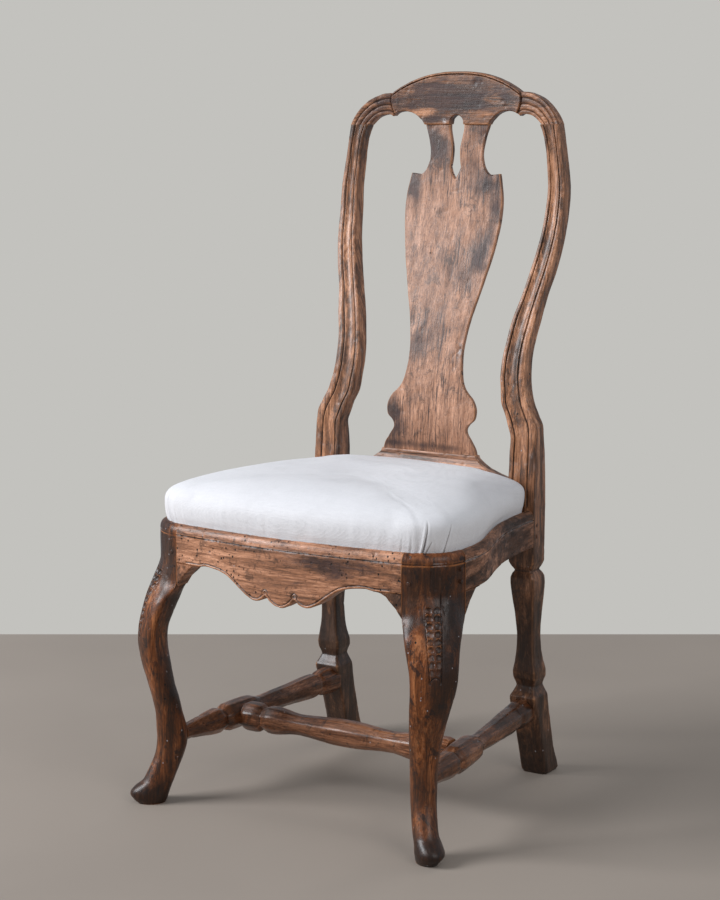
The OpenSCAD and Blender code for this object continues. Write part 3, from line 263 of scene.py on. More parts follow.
def make_object(name, points, faces):
    mesh = bpy.data.meshes.new(name)
    mesh.from_pydata([tuple(p) for p in np.asarray(points) * MM], [], faces)
    mesh.validate()
    return add_object(name, mesh)


def loop_faces(rows, count, first=0, skip=(), strips=False):
    """Quads between closed loops of `count` points, and a cap on each end, if asked in strips of quads."""
    k = np.arange(count)
    faces = []
    for j in range(rows - 1):
        a = first + j * count + k
        b = first + j * count + (k + 1) % count
        quads = np.stack([a, b, b + count, a + count], 1).tolist()
        faces += [q for n, q in enumerate(quads) if (j, n) not in skip]
    if strips:
        for start in (first, first + (rows - 1) * count):
            faces += [[start + i, start + i + 1, start + (count - i - 1) % count, start + (count - i) % count]
                      for i in range(1, count // 2 - 1)]
            faces.append([start, start + 1, start + count - 1])
            faces.append([start + count // 2 - 1, start + count // 2, start + count // 2 + 1])
    else:
        faces.append((first + k[::-1]).tolist())
        faces.append((first + (rows - 1) * count + k).tolist())
    return faces


def loops_object(name, *sets, strips=False):
    """One object from one or more stacks of closed loops, each of shape (rows, points, 3)."""
    points, faces, first = [], [], 0
    for loops in sets:
        rows, count = loops.shape[:2]
        faces += loop_faces(rows, count, first, strips=strips)
        points.append(loops.reshape(-1, 3))
        first += rows * count
    made = make_object(name, np.concatenate(points), faces)
    face_out(made)
    return made


def face_out(made):
    work = bmesh.new()
    work.from_mesh(made.data)
    bmesh.ops.remove_doubles(work, verts=work.verts, dist=1e-6)
    bmesh.ops.dissolve_degenerate(work, dist=1e-7, edges=work.edges)
    bmesh.ops.recalc_face_normals(work, faces=work.faces)
    work.to_mesh(made.data)
    work.free()


def mirrored_copy(made, name):
    mesh = made.data.copy()
    mesh.name = name
    work = bmesh.new()
    work.from_mesh(mesh)
    for v in work.verts:
        v.co.x = -v.co.x
    bmesh.ops.reverse_faces(work, faces=work.faces)
    work.to_mesh(mesh)
    work.free()
    return add_object(name, mesh)


def noise3(p, cell, seed):
    """Smooth value noise from -1 to 1 at points p, with the given cell size."""
    q = p / cell
    base = np.floor(q).astype(np.int64)
    f = q - base
    f = f * f * (3 - 2 * f)

    def lattice(dx, dy, dz):
        h = (base[:, 0] + dx) * 374761393 + (base[:, 1] + dy) * 668265263 + (base[:, 2] + dz) * 2147483647
        h = (h + seed * 974634777) & 0xFFFFFFFF
        h = ((h ^ (h >> 13)) * 1274126177) & 0xFFFFFFFF
        return ((h ^ (h >> 16)) & 0xFFFF) / 32767.5 - 1

    total = 0
    for dx in (0, 1):
        for dy in (0, 1):
            for dz in (0, 1):
                w = (f[:, 0] if dx else 1 - f[:, 0]) * (f[:, 1] if dy else 1 - f[:, 1]) \
                    * (f[:, 2] if dz else 1 - f[:, 2])
                total = total + w * lattice(dx, dy, dz)
    return total


def bell(distance, width):
    return np.exp(-(distance / width) ** 2)


def unit(values):
    return np.clip(values, 0, 1)


def read_vectors(mesh, name):
    v = np.empty(len(mesh.vertices) * 3)
    mesh.vertices.foreach_get(name, v)
    return v.reshape(-1, 3)


def read_points(mesh):
    return read_vectors(mesh, "co") / MM


def write_points(mesh, p):
    mesh.vertices.foreach_set("co", (p * MM).ravel())
    mesh.update()


def read_normals(mesh):
    return read_vectors(mesh, "normal")


def read_edges(mesh):
    e = np.empty(len(mesh.edges) * 2, int)
    mesh.edges.foreach_get("vertices", e)
    return e.reshape(-1, 2)


def edge_sum(e, first, second, count):
    """For each vertex the sum over its edges, from one value for each edge's first and second end."""
    return np.bincount(e[:, 0], first, count) + np.bincount(e[:, 1], second, count)


def curvature(mesh, passes=2):
    """How convex the surface is at each vertex, in 1/mm, evened out over its neighbours."""
    p, n, e = read_points(mesh), read_normals(mesh), read_edges(mesh)
    d = p[e[:, 1]] - p[e[:, 0]]
    square = np.maximum((d ** 2).sum(1), 1.0)
    count = np.bincount(e.ravel(), minlength=len(p)) + 1e-9
    bend = edge_sum(e, -(d * n[e[:, 0]]).sum(1) / square, (d * n[e[:, 1]]).sum(1) / square, len(p)) / count
    for _ in range(passes):
        bend = 0.5 * bend + 0.5 * edge_sum(e, bend[e[:, 1]], bend[e[:, 0]], len(p)) / count
    return bend


def set_attribute(mesh, name, values):
    layer = mesh.attributes.get(name) or mesh.attributes.new(name, "FLOAT", "POINT")
    layer.data.foreach_set("value", np.asarray(values, np.float32))


def weather(made, seed, wave=0.35, dents=40, sharp=35):
    """Hand-worked surface: slight waves, knocked edges and dents, and the marks that the wood's colour reads."""
    mesh = made.data
    p, n = read_points(mesh), read_normals(mesh)
    bend = curvature(mesh)
    edge = unit(bend * 5.0)
    shift = wave * (0.6 * noise3(p, 31.0, seed) + 0.3 * noise3(p, 11.0, seed + 1) + 0.12 * noise3(p, 4.0, seed + 2))
    shift -= 0.7 * edge * unit(noise3(p, 8.0, seed + 3) - 0.05)
    draw = np.random.default_rng(seed)
    for _ in range(dents):
        centre = p[draw.integers(len(p))]
        radius = draw.uniform(1.2, 3.6)
        away = np.linalg.norm(p - centre, axis=1)
        shift -= draw.uniform(0.25, 0.8) * bell(away, radius)
    write_points(mesh, p + n * shift[:, None])
    bend = curvature(mesh)
    set_attribute(mesh, "edge", unit(bend * 4.0))
    set_attribute(mesh, "hollow", unit(-bend * 4.5))
    for mark in ("chalk", "dark"):
        if mesh.attributes.get(mark) is None:
            set_attribute(mesh, mark, np.zeros(len(p)))
    finish_shading(made, sharp)


def darken(made, places, side=1):
    """Marks darker (positive) and lighter (negative) places, some painted sheen and shade: centre x, y, z, reach x, y,
    z and strength.
    """
    p = read_points(made.data) * (side, 1, 1)
    total = np.zeros(len(p))
    for x, y, z, rx, ry, rz, amount in places:
        total += amount * bell(p[:, 0] - x, rx) * bell(p[:, 1] - y, ry) * bell(p[:, 2] - z, rz)
    set_attribute(made.data, "dark", total)


def evaluated(made):
    return made.evaluated_get(bpy.context.evaluated_depsgraph_get())


def finish_shading(made, sharp=35):
    mesh = made.data
    mesh.shade_smooth()
    mesh.set_sharp_from_angle(angle=math.radians(sharp))


def put(made, material, body, slot, *nodes):
    """Gives a finished piece its material and body, and hides the frame's nodes that it stands for; the slot is not
    used.
    """
    made.data.materials.clear()
    made.data.materials.append(material)
    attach(made, body)
    if nodes:
        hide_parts(*nodes)


def put_sides(right, left, node, slot, finishes):
    """Gives a right piece and its twin on the left their materials and nodes."""
    for made, side, finish in ((right, "right", finishes[0]), (left, "left", finishes[1])):
        put(made, material(finish), "chair", slot, "%s_%s" % (side, node))


def put_mirrored(right, node, slot, finishes):
    """Adds the left twin of a piece that is already weathered."""
    left = mirrored_copy(right, "left_%s_wood" % node)
    finish_shading(left)
    put_sides(right, left, node, slot, finishes)


def put_pair(right, node, slot, finishes, places, seed, wave):
    """Adds the left twin of a piece, and weathers each in its own way."""
    left = mirrored_copy(right, "left_%s_wood" % node)
    for made, side in ((right, 1), (left, -1)):
        darken(made, places, side)
        weather(made, seed + 1 - side, wave=wave, dents=60)
    put_sides(right, left, node, slot, finishes)


def dress_node(node, material):
    """A frame node that stays gets a material on its own slots."""
    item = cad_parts[node]
    if not item.material_slots:
        item.data.materials.append(material)
    for place in item.material_slots:
        place.material = material


# ---------------------------------------------------------------- outline of the seat frame

def seat_outline(per_part=12):
    half = [(HALF_W * x, FRONT_Y + SEAT_D * y) for x, y in FRONT_CURVE]
    half += [(POST_OUT + (HALF_W - POST_OUT) * x, FRONT_Y + SEAT_D * y) for x, y in SIDE_CURVE]
    whole = [(-x, y) for x, y in half[:0:-1]] + half
    fine = along(whole, fine_places(whole, per_part))
    return fine[len(fine) // 2:]


OUTLINE = seat_outline()
TURN = int(np.argmax(OUTLINE[:, 0]))
SEAT_MIDDLE = (FRONT_Y + POST_Y) / 2


def front_at(x):
    return np.interp(np.abs(x), OUTLINE[:TURN + 1, 0], OUTLINE[:TURN + 1, 1])


def side_at(y):
    return np.interp(y, OUTLINE[TURN:, 1], OUTLINE[TURN:, 0])


def lip_profile():
    """Inset and height up the face, over the groove and the rounded lip, down into the rebate."""
    low = SEAT_H - LIP_RISE
    rows = [(0, low - 4), (0, low - 2.6), (GROOVE * 0.4, low - 2.2), (GROOVE, low - 1.5), (GROOVE, low - 0.9),
            (GROOVE * 0.35, low - 0.3)]
    rows += [(LIP_REACH * (1 - math.cos(a)), low + LIP_RISE * math.sin(a))
             for a in np.radians(np.linspace(0, 90, 12))]
    return rows + [(LIP_W, SEAT_H - 0.5), (LIP_W, REBATE_Z + 1), (LIP_W, REBATE_Z)]


LIP = lip_profile()
FACE_TOP = LIP[0][1]


# ---------------------------------------------------------------- darker and lighter places of each wood, some of them painted sheen and painted shade

ALL = 900.0


def through(*places):
    """Places that reach right through a board: x, z, reach in x and z, and strength."""
    return [(x, 0, z, rx, ALL, rz, amount) for x, z, rx, rz, amount in places]


# the large lighter places on the rail's left are painted sheen from the window lamp
RAIL_PLACES = through((-125, 385, 64, 30, -2.0), (-60, 404, 90, 5, 0.5), (60, 396, 26, 9, 1.2),
                      (100, 392, 30, 12, 0.8), (-185, 395, 16, 30, 0.8), (0, 418, 160, 5, 0.5),
                      (-80, 380, 60, 22, -0.6), (150, 375, 30, 14, -0.4), (0, 338, 60, 14, -0.5))
LEG_PLACES = [(232, -225, 395, 40, 60, 22, 1.0), (215, -262, 352, 30, 20, 30, 0.5),
              (250, -200, 330, 16, 40, 60, 1.2), (225, -262, 290, 26, 26, 60, -1.0),
              (262, -230, 250, 16, 40, 60, 0.9), (225, -262, 200, 20, 26, 60, -0.4),
              (240, -240, 100, 40, 40, 26, 0.4), (240, -245, 10, 50, 50, 24, 1.6),
              (205, -215, 250, 16, 40, 110, 0.9)]
# the dark band on each post's inner face above the seat is painted shade, and the two lighter places up its front are
# painted sheen
POST_PLACES = [(180, 160, 180, 60, 60, 190, 1.1), (180, 190, 20, 60, 60, 40, 1.0),
               (153, 200, 700, 5, ALL, 300, 0.7), (160, 150, 560, 40, 20, 60, -0.4),
               (165, 180, 760, 40, 40, 120, -0.5), (185, 230, 985, 40, 40, 40, 0.7)]
CREST_PLACES = through((0, 1030, 105, 34, 1.5), (62, 1034, 16, 6, -1.5), (40, 1012, 22, 6, -1.4),
                       (-60, 1014, 20, 5, -1.3), (-20, 1060, 40, 3, -0.8), (-45, 1003, 26, 5, 0.8),
                       (150, 1010, 40, 40, 0.2), (-150, 1010, 40, 40, 0.2))
# the two large lighter places low on the splat are painted sheen
SPLAT_PLACES = through((10, 560, 60, 50, -1.9), (0, 850, 50, 60, -0.6), (-36, 965, 20, 34, 1.4),
                       (34, 986, 22, 16, 0.7), (-78, 905, 16, 30, 1.3), (-88, 826, 15, 60, 1.5),
                       (-55, 876, 16, 24, 0.8), (52, 900, 26, 14, 0.8), (72, 856, 12, 36, 0.9),
                       (62, 800, 10, 30, 0.7), (-12, 890, 26, 40, -0.8), (0, 600, 44, 46, -1.0),
                       (52, 556, 18, 16, -0.8), (-66, 558, 14, 22, 0.9), (0, 502, 90, 6, 0.9),
                       (-34, 645, 20, 24, 0.6), (-10, 740, 30, 60, 0.1))


# ---------------------------------------------------------------- materials

def linear(r, g, b):
    """A colour written in 0 to 255 steps, as the shader wants it."""
    return tuple(((v / 255) / 12.92 if v / 255 <= 0.04045 else ((v / 255 + 0.055) / 1.055) ** 2.4)
                 for v in (r, g, b)) + (1.0,)


def add_node(tree, kind, inputs=None, **values):
    """A node with its settings, each of its inputs given a value or a link."""
    node = tree.nodes.new(kind)
    for key, value in values.items():
        setattr(node, key, value)
    for key, value in (inputs or {}).items():
        if isinstance(value, bpy.types.NodeSocket):
            tree.links.new(value, node.inputs[key])
        else:
            node.inputs[key].default_value = value
    return node


class Nodes:
    """Short hand for building a material's node tree."""

    def __init__(self, name):
        self.material = bpy.data.materials.new(name)
        self.material.use_nodes = True
        self.tree = self.material.node_tree
        self.tree.nodes.clear()
        self.coords = self.add("ShaderNodeTexCoord").outputs["Object"]

    def add(self, kind, inputs=None, **values):
        return add_node(self.tree, kind, inputs, **values)

    def surface(self, inputs):
        """Ends the tree with a shader that has these inputs, and hands over the material."""
        shader = self.add("ShaderNodeBsdfPrincipled", inputs)
        self.add("ShaderNodeOutputMaterial", {"Surface": shader.outputs["BSDF"]})
        return self.material

    def mapping(self, scale, turn=(0, 0, 0), move=(0, 0, 0)):
        return self.add("ShaderNodeMapping", {"Vector": self.coords, "Scale": scale, "Rotation": turn,
                                              "Location": move}).outputs["Vector"]

    def noise(self, vector, detail=4.0, rough=0.6, distort=0.0):
        return self.add("ShaderNodeTexNoise", {"Vector": vector, "Scale": 1.0, "Detail": detail,
                                               "Roughness": rough, "Distortion": distort}).outputs["Fac"]

    def cells(self, vector, scale):
        node = self.add("ShaderNodeTexVoronoi", {"Vector": vector, "Scale": scale})
        return node.outputs["Distance"], node.outputs["Color"]

    def span(self, value, low, high, to_low=0.0, to_high=1.0):
        return self.add("ShaderNodeMapRange", {"Value": value, "From Min": low, "From Max": high, "To Min": to_low,
                                               "To Max": to_high}, clamp=True).outputs["Result"]

    def math(self, kind, a, b):
        return self.add("ShaderNodeMath", {0: a, 1: b}, operation=kind).outputs[0]

    def times(self, a, b):
        return self.math("MULTIPLY", a, b)

    def plus(self, a, b):
        return self.math("ADD", a, b)

    def mix(self, amount, a, b):
        return self.add("ShaderNodeMix", {0: amount, 6: a, 7: b}, data_type="RGBA").outputs[2]

    def ramp(self, value, *stops):
        node = self.add("ShaderNodeValToRGB", {"Fac": value})
        points = node.color_ramp.elements
        while len(points) < len(stops):
            points.new(0.5)
        for point, (place, colour) in zip(points, stops):
            point.position = place
            point.color = colour
        return node.outputs["Color"]

    def attribute(self, name):
        return self.add("ShaderNodeAttribute", attribute_name=name).outputs["Fac"]

    def bump(self, *layers):
        """Normal from one or more (height, distance, strength) layers, the first below."""
        normal = None
        for height, distance, strength in layers:
            inputs = {"Height": height, "Distance": distance, "Strength": strength}
            if normal is not None:
                inputs["Normal"] = normal
            normal = self.add("ShaderNodeBump", inputs).outputs["Normal"]
        return normal


def worn_wood(name, wood, patina, grain="Z", cover=0.5, mottle=0.5, worms=0.4, specks=0.4, wear=0.8,
              rough=0.4, sheen=0.25, scratch=0.0, seed=0.0, worn=(214, 150, 100), contrast=1.0, rag=1.0):
    """Old waxed wood: grain, a broken dark patina, mottle, rubbed edges, dirt, worm holes and pale specks."""
    n = Nodes(name)
    move = (seed * 3.1, seed * 1.7, seed * 2.3)
    times, plus, span = n.times, n.plus, n.span

    def axes(across, lengthwise):
        return {"X": (lengthwise, across, across), "Y": (across, lengthwise, across),
                "Z": (across, across, lengthwise)}[grain]

    def field(scale, detail, rough, distort=0.0, turn=(0, 0, 0)):
        return n.noise(n.mapping(scale, turn, move), detail=detail, rough=rough, distort=distort)

    def over(rgb, amount, share=1.0):
        return n.mix(times(amount, share), colour, linear(*rgb))

    broad = field(axes(70, 5), 5, 0.68, 0.5)
    fine = field(axes(420, 18), 5, 0.6, 0.3)
    pores = field(axes(1100, 70), 2, 0.5)
    cloud = field((8, 8, 8), 4, 0.6, 0.3)
    ragged = field(axes(64, 20), 8, 0.76, 0.5)
    blotch = field((52, 52, 38), 8, 0.74, 0.4)
    grit = field((260, 260, 200), 6, 0.72)
    dark = n.attribute("dark")
    # on end grain the fine streaks and pores would turn into dots, so they fade there
    facing = n.add("ShaderNodeSeparateXYZ", {0: n.add("ShaderNodeTexCoord").outputs["Normal"]})
    along_grain = span(n.math("ABSOLUTE", facing.outputs["XYZ".index(grain)], 0), 0.3, 0.75, 1, 0)
    fine = plus(times(n.math("SUBTRACT", fine, 0.5), along_grain), 0.5)
    pores = times(pores, along_grain)
    # the dark attribute shifts the tone, positive darker and negative lighter; on some pieces this is painted sheen
    # and painted shade
    tone = n.math("SUBTRACT", plus(times(broad, 0.6), times(fine, 0.4)), times(dark, 0.03))
    half = 0.1 / contrast
    colour = n.ramp(tone, (0.5 - half, linear(*shade(wood, 0.5))), (0.5, linear(*wood)),
                    (0.5 + half, linear(*(1.15 * v + 34 for v in wood))))
    # the patina's edge follows both the broad clouds and the grain, pushed by the piece's own dark places
    reach = plus(times(cloud, 1 - 0.6 * rag), times(ragged, 0.6 * rag))
    reach = plus(plus(reach, times(dark, 0.15)), times(n.math("SUBTRACT", fine, 0.5), 0.22 * rag))
    middle = 0.62 - 0.2 * cover
    film_colour = n.mix(span(ragged, 0.4, 0.62), linear(*shade(patina, 0.62)), linear(*shade(patina, 1.12)))
    colour = n.mix(times(span(reach, middle - 0.07, middle + 0.075), 0.88), colour, film_colour)
    colour = over(shade(patina, 0.55), span(pores, 0.57, 0.64), 0.42)
    colour = over((30, 20, 18), span(blotch, 0.56, 0.61), mottle)
    colour = over((28, 19, 17), span(grit, 0.57, 0.64), mottle * 0.7)
    if scratch:
        for turn in (0.7, -0.6):
            line = field((620, 60, 20), 3, 0.5, turn=(0, turn, 0))
            colour = over(shade(patina, 0.8), times(span(line, 0.58, 0.63), span(cloud, 0.44, 0.54)), scratch)
    colour = over(worn, times(span(n.attribute("edge"), 0.2, 0.7), span(ragged, 0.4, 0.52)), wear)
    dirt = span(n.attribute("hollow"), 0.08, 0.45)
    colour = over((22, 14, 12), dirt, 0.9)
    colour = over((196, 190, 190), times(n.attribute("chalk"), span(grit, 0.42, 0.52)), 0.85)
    distance, pick = n.cells(n.mapping((1, 1, 0.75), move=move), 190)
    dots = times(n.math("LESS_THAN", plus(distance, times(grit, 0.2)), 0.27),
                 n.math("GREATER_THAN", pick, 1 - 0.28 * specks))
    colour = over((178, 172, 176), dots, 0.75)
    distance, pick = n.cells(n.mapping((1, 1, 0.8), move=(seed + 5, seed, seed)), 130)
    chosen = times(n.math("GREATER_THAN", pick, 1 - 0.6 * worms), span(cloud, 0.4, 0.5))
    holes = times(span(distance, 0.13, 0.2, 1, 0), chosen)
    colour = over((12, 8, 7), holes)
    pits = plus(times(holes, -1.0), times(dots, 0.2))
    return n.surface({
        "Base Color": colour, "Specular IOR Level": 0.36, "IOR": 1.5, "Coat Weight": sheen, "Coat Roughness": 0.24,
        "Roughness": plus(span(ragged, 0.35, 0.65, rough - 0.08, rough + 0.14), times(dirt, 0.2)),
        "Normal": n.bump((fine, 0.0008, 0.6), (pores, 0.0003, 0.5), (blotch, 0.0018, 0.5), (pits, 0.0014, 0.9))})


def bare_wood(name, light, dark, grain="X"):
    """Plain sawn softwood of the seat's hidden frame."""
    n = Nodes(name)
    scale = {"X": (4, 80, 80), "Y": (80, 4, 80)}[grain]
    fine = n.noise(n.mapping(scale), detail=7, rough=0.62, distort=0.5)
    saw = n.noise(n.mapping(tuple(12 if v == 4 else 700 for v in scale)), detail=2)
    colour = n.ramp(fine, (0.35, linear(*dark)), (0.62, linear(*light)))
    colour = n.mix(n.span(saw, 0.55, 0.7, 0, 0.25), colour, linear(*dark))
    return n.surface({"Base Color": colour, "Roughness": 0.75, "Specular IOR Level": 0.25,
                      "Normal": n.bump((fine, 0.0006, 0.5), (saw, 0.0004, 0.5))})


def woven_cloth(name, base, dark, pitch, bump=0.0003, slub=0.4, stains=0.1):
    """Plain weave: warp and weft on each face, uneven yarn, a few faint marks and painted shade in its folds."""
    n = Nodes(name)
    waves = [n.add("ShaderNodeTexWave", {"Vector": n.coords, "Scale": 0.314 / pitch, "Distortion": 0.6,
                                         "Detail": 1.0}, wave_type="BANDS", bands_direction=axis).outputs["Fac"]
             for axis in ("X", "Y", "Z")]
    weave = n.times(n.times(waves[0], waves[1]), n.plus(waves[2], 0.4))
    yarn = n.noise(n.mapping((60, 700, 300)), detail=3)
    cross = n.noise(n.mapping((700, 60, 300)), detail=3)
    uneven = n.plus(n.times(yarn, 0.5), n.times(cross, 0.5))
    cloud = n.noise(n.mapping((14, 14, 14)), detail=5, rough=0.6)
    colour = linear(*base)
    for amount in (n.span(uneven, 0.4, 0.62, slub, 0), n.span(weave, 0.0, 0.5, 0.22, 0),
                   n.span(cloud, 0.5, 0.72, 0, stains)):
        colour = n.mix(amount, colour, linear(*dark))
    # painted shade: darker brown where the hollow attribute marks folds and the inside of deep pleats
    colour = n.mix(n.times(n.span(n.attribute("hollow"), 0.15, 0.9), 0.9), colour, linear(92, 78, 64))
    return n.surface({"Base Color": colour, "Roughness": 0.85, "Specular IOR Level": 0.2, "Sheen Weight": 0.15,
                      "Normal": n.bump((n.plus(weave, uneven), bump, 0.6))})


def dull_steel(name):
    n = Nodes(name)
    spots = n.noise(n.mapping((400, 400, 400)), detail=5, rough=0.7)
    return n.surface({"Base Color": n.ramp(spots, (0.4, linear(70, 66, 64)), (0.62, linear(112, 78, 54))),
                      "Metallic": 0.8, "Roughness": n.span(spots, 0.3, 0.7, 0.35, 0.7),
                      "Normal": n.bump((spots, 0.0002, 0.5))})


def colours():
    return bpy.context.scene.chair_colours


def sizes():
    return bpy.context.scene.chair_sizes


def tint(name):
    """A colour property as 0 to 255 steps."""
    value = getattr(colours(), name)
    return tuple(v * 255 for v in value)


def shade(colour, by):
    return tuple(min(v * by, 255) for v in colour)


# Each wood's colour property, grain direction and settings
FINISHES = {
    "rail_front": ("rail", "X", dict(cover=0.24, mottle=0.55, worms=1.1, specks=0.3, wear=0.9, contrast=0.8, seed=1,
                                     sheen=0.15)),
    "rail_rear": ("rail", "X", dict(cover=0.6, mottle=0.4, worms=0.4, specks=0.3, seed=2, sheen=0.1)),
    # the right side rail and right brackets get a darker cover and mottle than the left ones: painted shade on the
    # side away from the window lamp
    "rail_side_r": ("rail", "Y", dict(cover=0.78, mottle=0.7, worms=0.3, specks=0.4, wear=0.8, rough=0.5, seed=3,
                                      sheen=0.0)),
    "rail_side_l": ("rail", "Y", dict(cover=0.5, mottle=0.5, worms=0.4, specks=0.4, seed=4, sheen=0.1)),
    "leg_r": ("leg", "Z", dict(cover=0.4, mottle=0.8, worms=0.2, specks=0.7, wear=0.85, rough=0.36, seed=5,
                               sheen=0.15, worn=(196, 124, 70))),
    "leg_l": ("leg", "Z", dict(cover=0.4, mottle=0.8, worms=0.3, specks=0.6, wear=0.85, rough=0.36, seed=6,
                               sheen=0.15, worn=(196, 124, 70))),
    "post_r": ("back", "Z", dict(cover=0.3, mottle=0.45, worms=0.15, specks=0.35, wear=0.9, seed=8, sheen=0.25)),
    "post_l": ("back", "Z", dict(cover=0.25, mottle=0.45, worms=0.15, specks=0.3, wear=0.9, seed=9, sheen=0.3)),
    "crest": ("back", "X", dict(cover=0.3, mottle=0.4, worms=0.1, specks=0.2, wear=0.95, seed=11, sheen=0.12)),
    "splat": ("splat", "Z", dict(cover=0.24, mottle=0.5, worms=0.1, specks=0.12, wear=0.8, scratch=0.8, seed=13,
                                 sheen=0.12, contrast=0.5, rag=0.5)),
    "shoe": ("splat", "X", dict(cover=0.3, mottle=0.35, worms=0.35, specks=0.2, wear=0.95, seed=15, sheen=0.15)),
    "bar": ("stretcher", "Y", dict(cover=0.45, mottle=0.6, worms=0.1, specks=0.5, wear=0.7, rough=0.3, seed=17,
                                   sheen=0.35, worn=(170, 108, 66))),
    "cross": ("stretcher", "X", dict(cover=0.3, mottle=0.6, worms=0.1, specks=0.4, wear=0.8, rough=0.34, seed=18,
                                     sheen=0.35, worn=(184, 126, 84))),
    "peg": ("leg", "Z", dict(cover=0.9, mottle=0.5, worms=0.0, specks=0.2, wear=0.0, rough=0.5, seed=19)),
}
# Each plain cloth's light and dark yarn, pitch and settings
CLOTHS = {
    "webbing": ((176, 150, 112), (120, 98, 68), 0.0024, dict(bump=0.0008, slub=0.6)),
    "hessian": ((150, 118, 78), (92, 68, 42), 0.0018, dict(bump=0.0008, slub=0.7)),
}
PATINA_FINISHES = ("rail_front", "crest", "splat", "shoe")
MADE = {}


def make_material(key):
    if key in FINISHES:
        colour, grain, values = FINISHES[key]
        return worn_wood(key, tint(colour), tint("patina" if key in PATINA_FINISHES else "wax"), grain, **values)
    if key in CLOTHS:
        base, dark, pitch, values = CLOTHS[key]
        return woven_cloth(key, base, dark, pitch, **values)
    if key == "linen":
        return woven_cloth(key, tint("linen"), shade(tint("linen"), 0.82), 0.0009, slub=0.16, stains=0.22)
    if key == "steel":
        return dull_steel(key)
    return bare_wood(key, (206, 168, 118), (158, 116, 72), {"bare_x": "X", "bare_y": "Y"}[key])


def material(key):
    """Each finish is made once and shared by the pieces that have it."""
    if key not in MADE:
        MADE[key] = make_material(key)
    return MADE[key]


# ---------------------------------------------------------------- pieces: rails

def apron_edge(x):
    """Height of the front rail's lower edge."""
    share = np.abs(x) / JOINT_X
    cusp = APRON_OUTER[0][0]
    inner = smooth_table(APRON_MIDDLE, np.minimum(share, cusp))[:, 1]
    outer = smooth_table(APRON_OUTER, np.clip(share, cusp, 1))[:, 1]
    return RAIL_Z - 41.0 * np.where(share < cusp, inner, outer)


def polyline_distance(p, line):
    """Distance of each 2-D point to a polyline."""
    best = np.full(len(p), 1e9)
    for a, b in zip(line[:-1], line[1:]):
        ab = b - a
        t = unit(((p - a) @ ab) / max(ab @ ab, 1e-9))
        best = np.minimum(best, ((p - a - t[:, None] * ab) ** 2).sum(1))
    return np.sqrt(best)


def apron_lines():
    """The line cut along the apron's edge, with a curl over each cusp."""
    offset, curl, turns = 4.2, 4.6, np.radians(np.linspace(-120, 125, 22))
    x = np.linspace(0, JOINT_X - 4, 260)
    z = apron_edge(x)
    slope = np.gradient(z, x)
    norm = np.sqrt(1 + slope ** 2)
    line = np.stack([x - slope / norm * offset, z + offset / norm], 1)
    cusp = APRON_OUTER[0][0] * JOINT_X
    knob = np.array([cusp, apron_edge(np.array([cusp]))[0] + 5.2])
    arch = knob + curl * np.stack([np.sin(turns), np.cos(turns)], 1)
    right = np.concatenate([line[x < cusp - 3.4], arch, line[(x > cusp + 4.2) & (x < 172)]])
    k = np.arange(14)
    hook = knob + (1.6 - 0.05 * k)[:, None] * np.stack([np.sin(0.5 * k), np.cos(0.5 * k)], 1)
    return [right, hook, right * (-1, 1), hook * (-1, 1)]


def build_front_rail():
    columns = np.linspace(-JOINT_X + 0.05, JOINT_X - 0.05, 420)
    low, face = apron_edge(columns), front_at(columns)
    turn, fine = 3.2, 16
    rows = [(inset, "low", rise) for inset, rise in rounded_edge(turn)]
    rows += [(0, "low", rise) for rise in np.linspace(turn + 0.8, fine, 17)]
    rows += [(0, "up", share) for share in np.linspace(0, 1, 24)[1:]]
    rows += [(inset, "z", z) for inset, z in LIP[1:]]
    rows += [(RAIL_T - 1, "z", REBATE_Z), (RAIL_T, "z", REBATE_Z - 1), (RAIL_T, "up", 0.5), (RAIL_T, "low", 4),
             (RAIL_T - 2, "low", 0.6), (RAIL_T * 0.6, "low", 0), (RAIL_T * 0.3, "low", 0)]
    loops = np.zeros((len(columns), len(rows), 3))
    for k, (inset, kind, value) in enumerate(rows):
        z = {"low": low + value, "z": value, "up": low + fine + (FACE_TOP - low - fine) * value}[kind]
        fill(loops, k, columns, face + inset, z)
    made = loops_object("front_rail_wood", loops)
    p = read_points(made.data)
    on_face = p[:, 1] < front_at(p[:, 0]) + 5
    depth = np.zeros(len(p))
    for line in apron_lines():
        depth[on_face] += 1.25 * bell(polyline_distance(p[on_face][:, [0, 2]], line), 0.95)
    p[:, 1] += np.minimum(depth, 1.4)
    write_points(made.data, p)
    chalk = np.clip(depth * 0.35, 0, 0.3) * (noise3(p, 9, 5) > 0.1)
    chalk = np.maximum(chalk, lip_chalk(p, front_at(p[:, 0]) - p[:, 1]))
    set_attribute(made.data, "chalk", chalk)
    darken(made, RAIL_PLACES)
    weather(made, 21, dents=70)
    put(made, material("rail_front"), "chair", "rail_wood", "front_rail")


def lip_chalk(p, inset):
    """Pale filler left along the groove under the lip."""
    return bell(p[:, 2] - GROOVE_Z, 1.5) * (np.abs(inset) < 4) * unit(noise3(p, 16, 3) * 1.1 + 0.55)


def build_side_rail(name, seed):
    depth = np.linspace(JOINT_Y + 0.05, POST_Y, 130)
    face = side_at(depth)
    inner = np.interp(depth, [JOINT_Y, POST_Y], [side_at(JOINT_Y) - RAIL_T, POST_IN + 9])
    rows = [(inset, RAIL_Z + rise) for inset, rise in rounded_edge(2.5)]
    rows += [(0, z) for z in np.linspace(RAIL_Z + 4, FACE_TOP, 22)] + LIP[1:]
    inside = [(1, REBATE_Z), (0, REBATE_Z - 1), (0, RAIL_Z + 2), (2, RAIL_Z), (14, RAIL_Z)]
    loops = np.zeros((len(depth), len(rows) + len(inside), 3))
    for k, (inset, z) in enumerate(rows):
        fill(loops, k, face - inset, depth, z)
    for k, (inset, z) in enumerate(inside, len(rows)):
        fill(loops, k, inner + inset, depth, z)
    made = loops_object(name, loops)
    p = read_points(made.data)
    set_attribute(made.data, "chalk", lip_chalk(p, side_at(p[:, 1]) - p[:, 0]) * 0.7)
    weather(made, seed, dents=40)
    return made


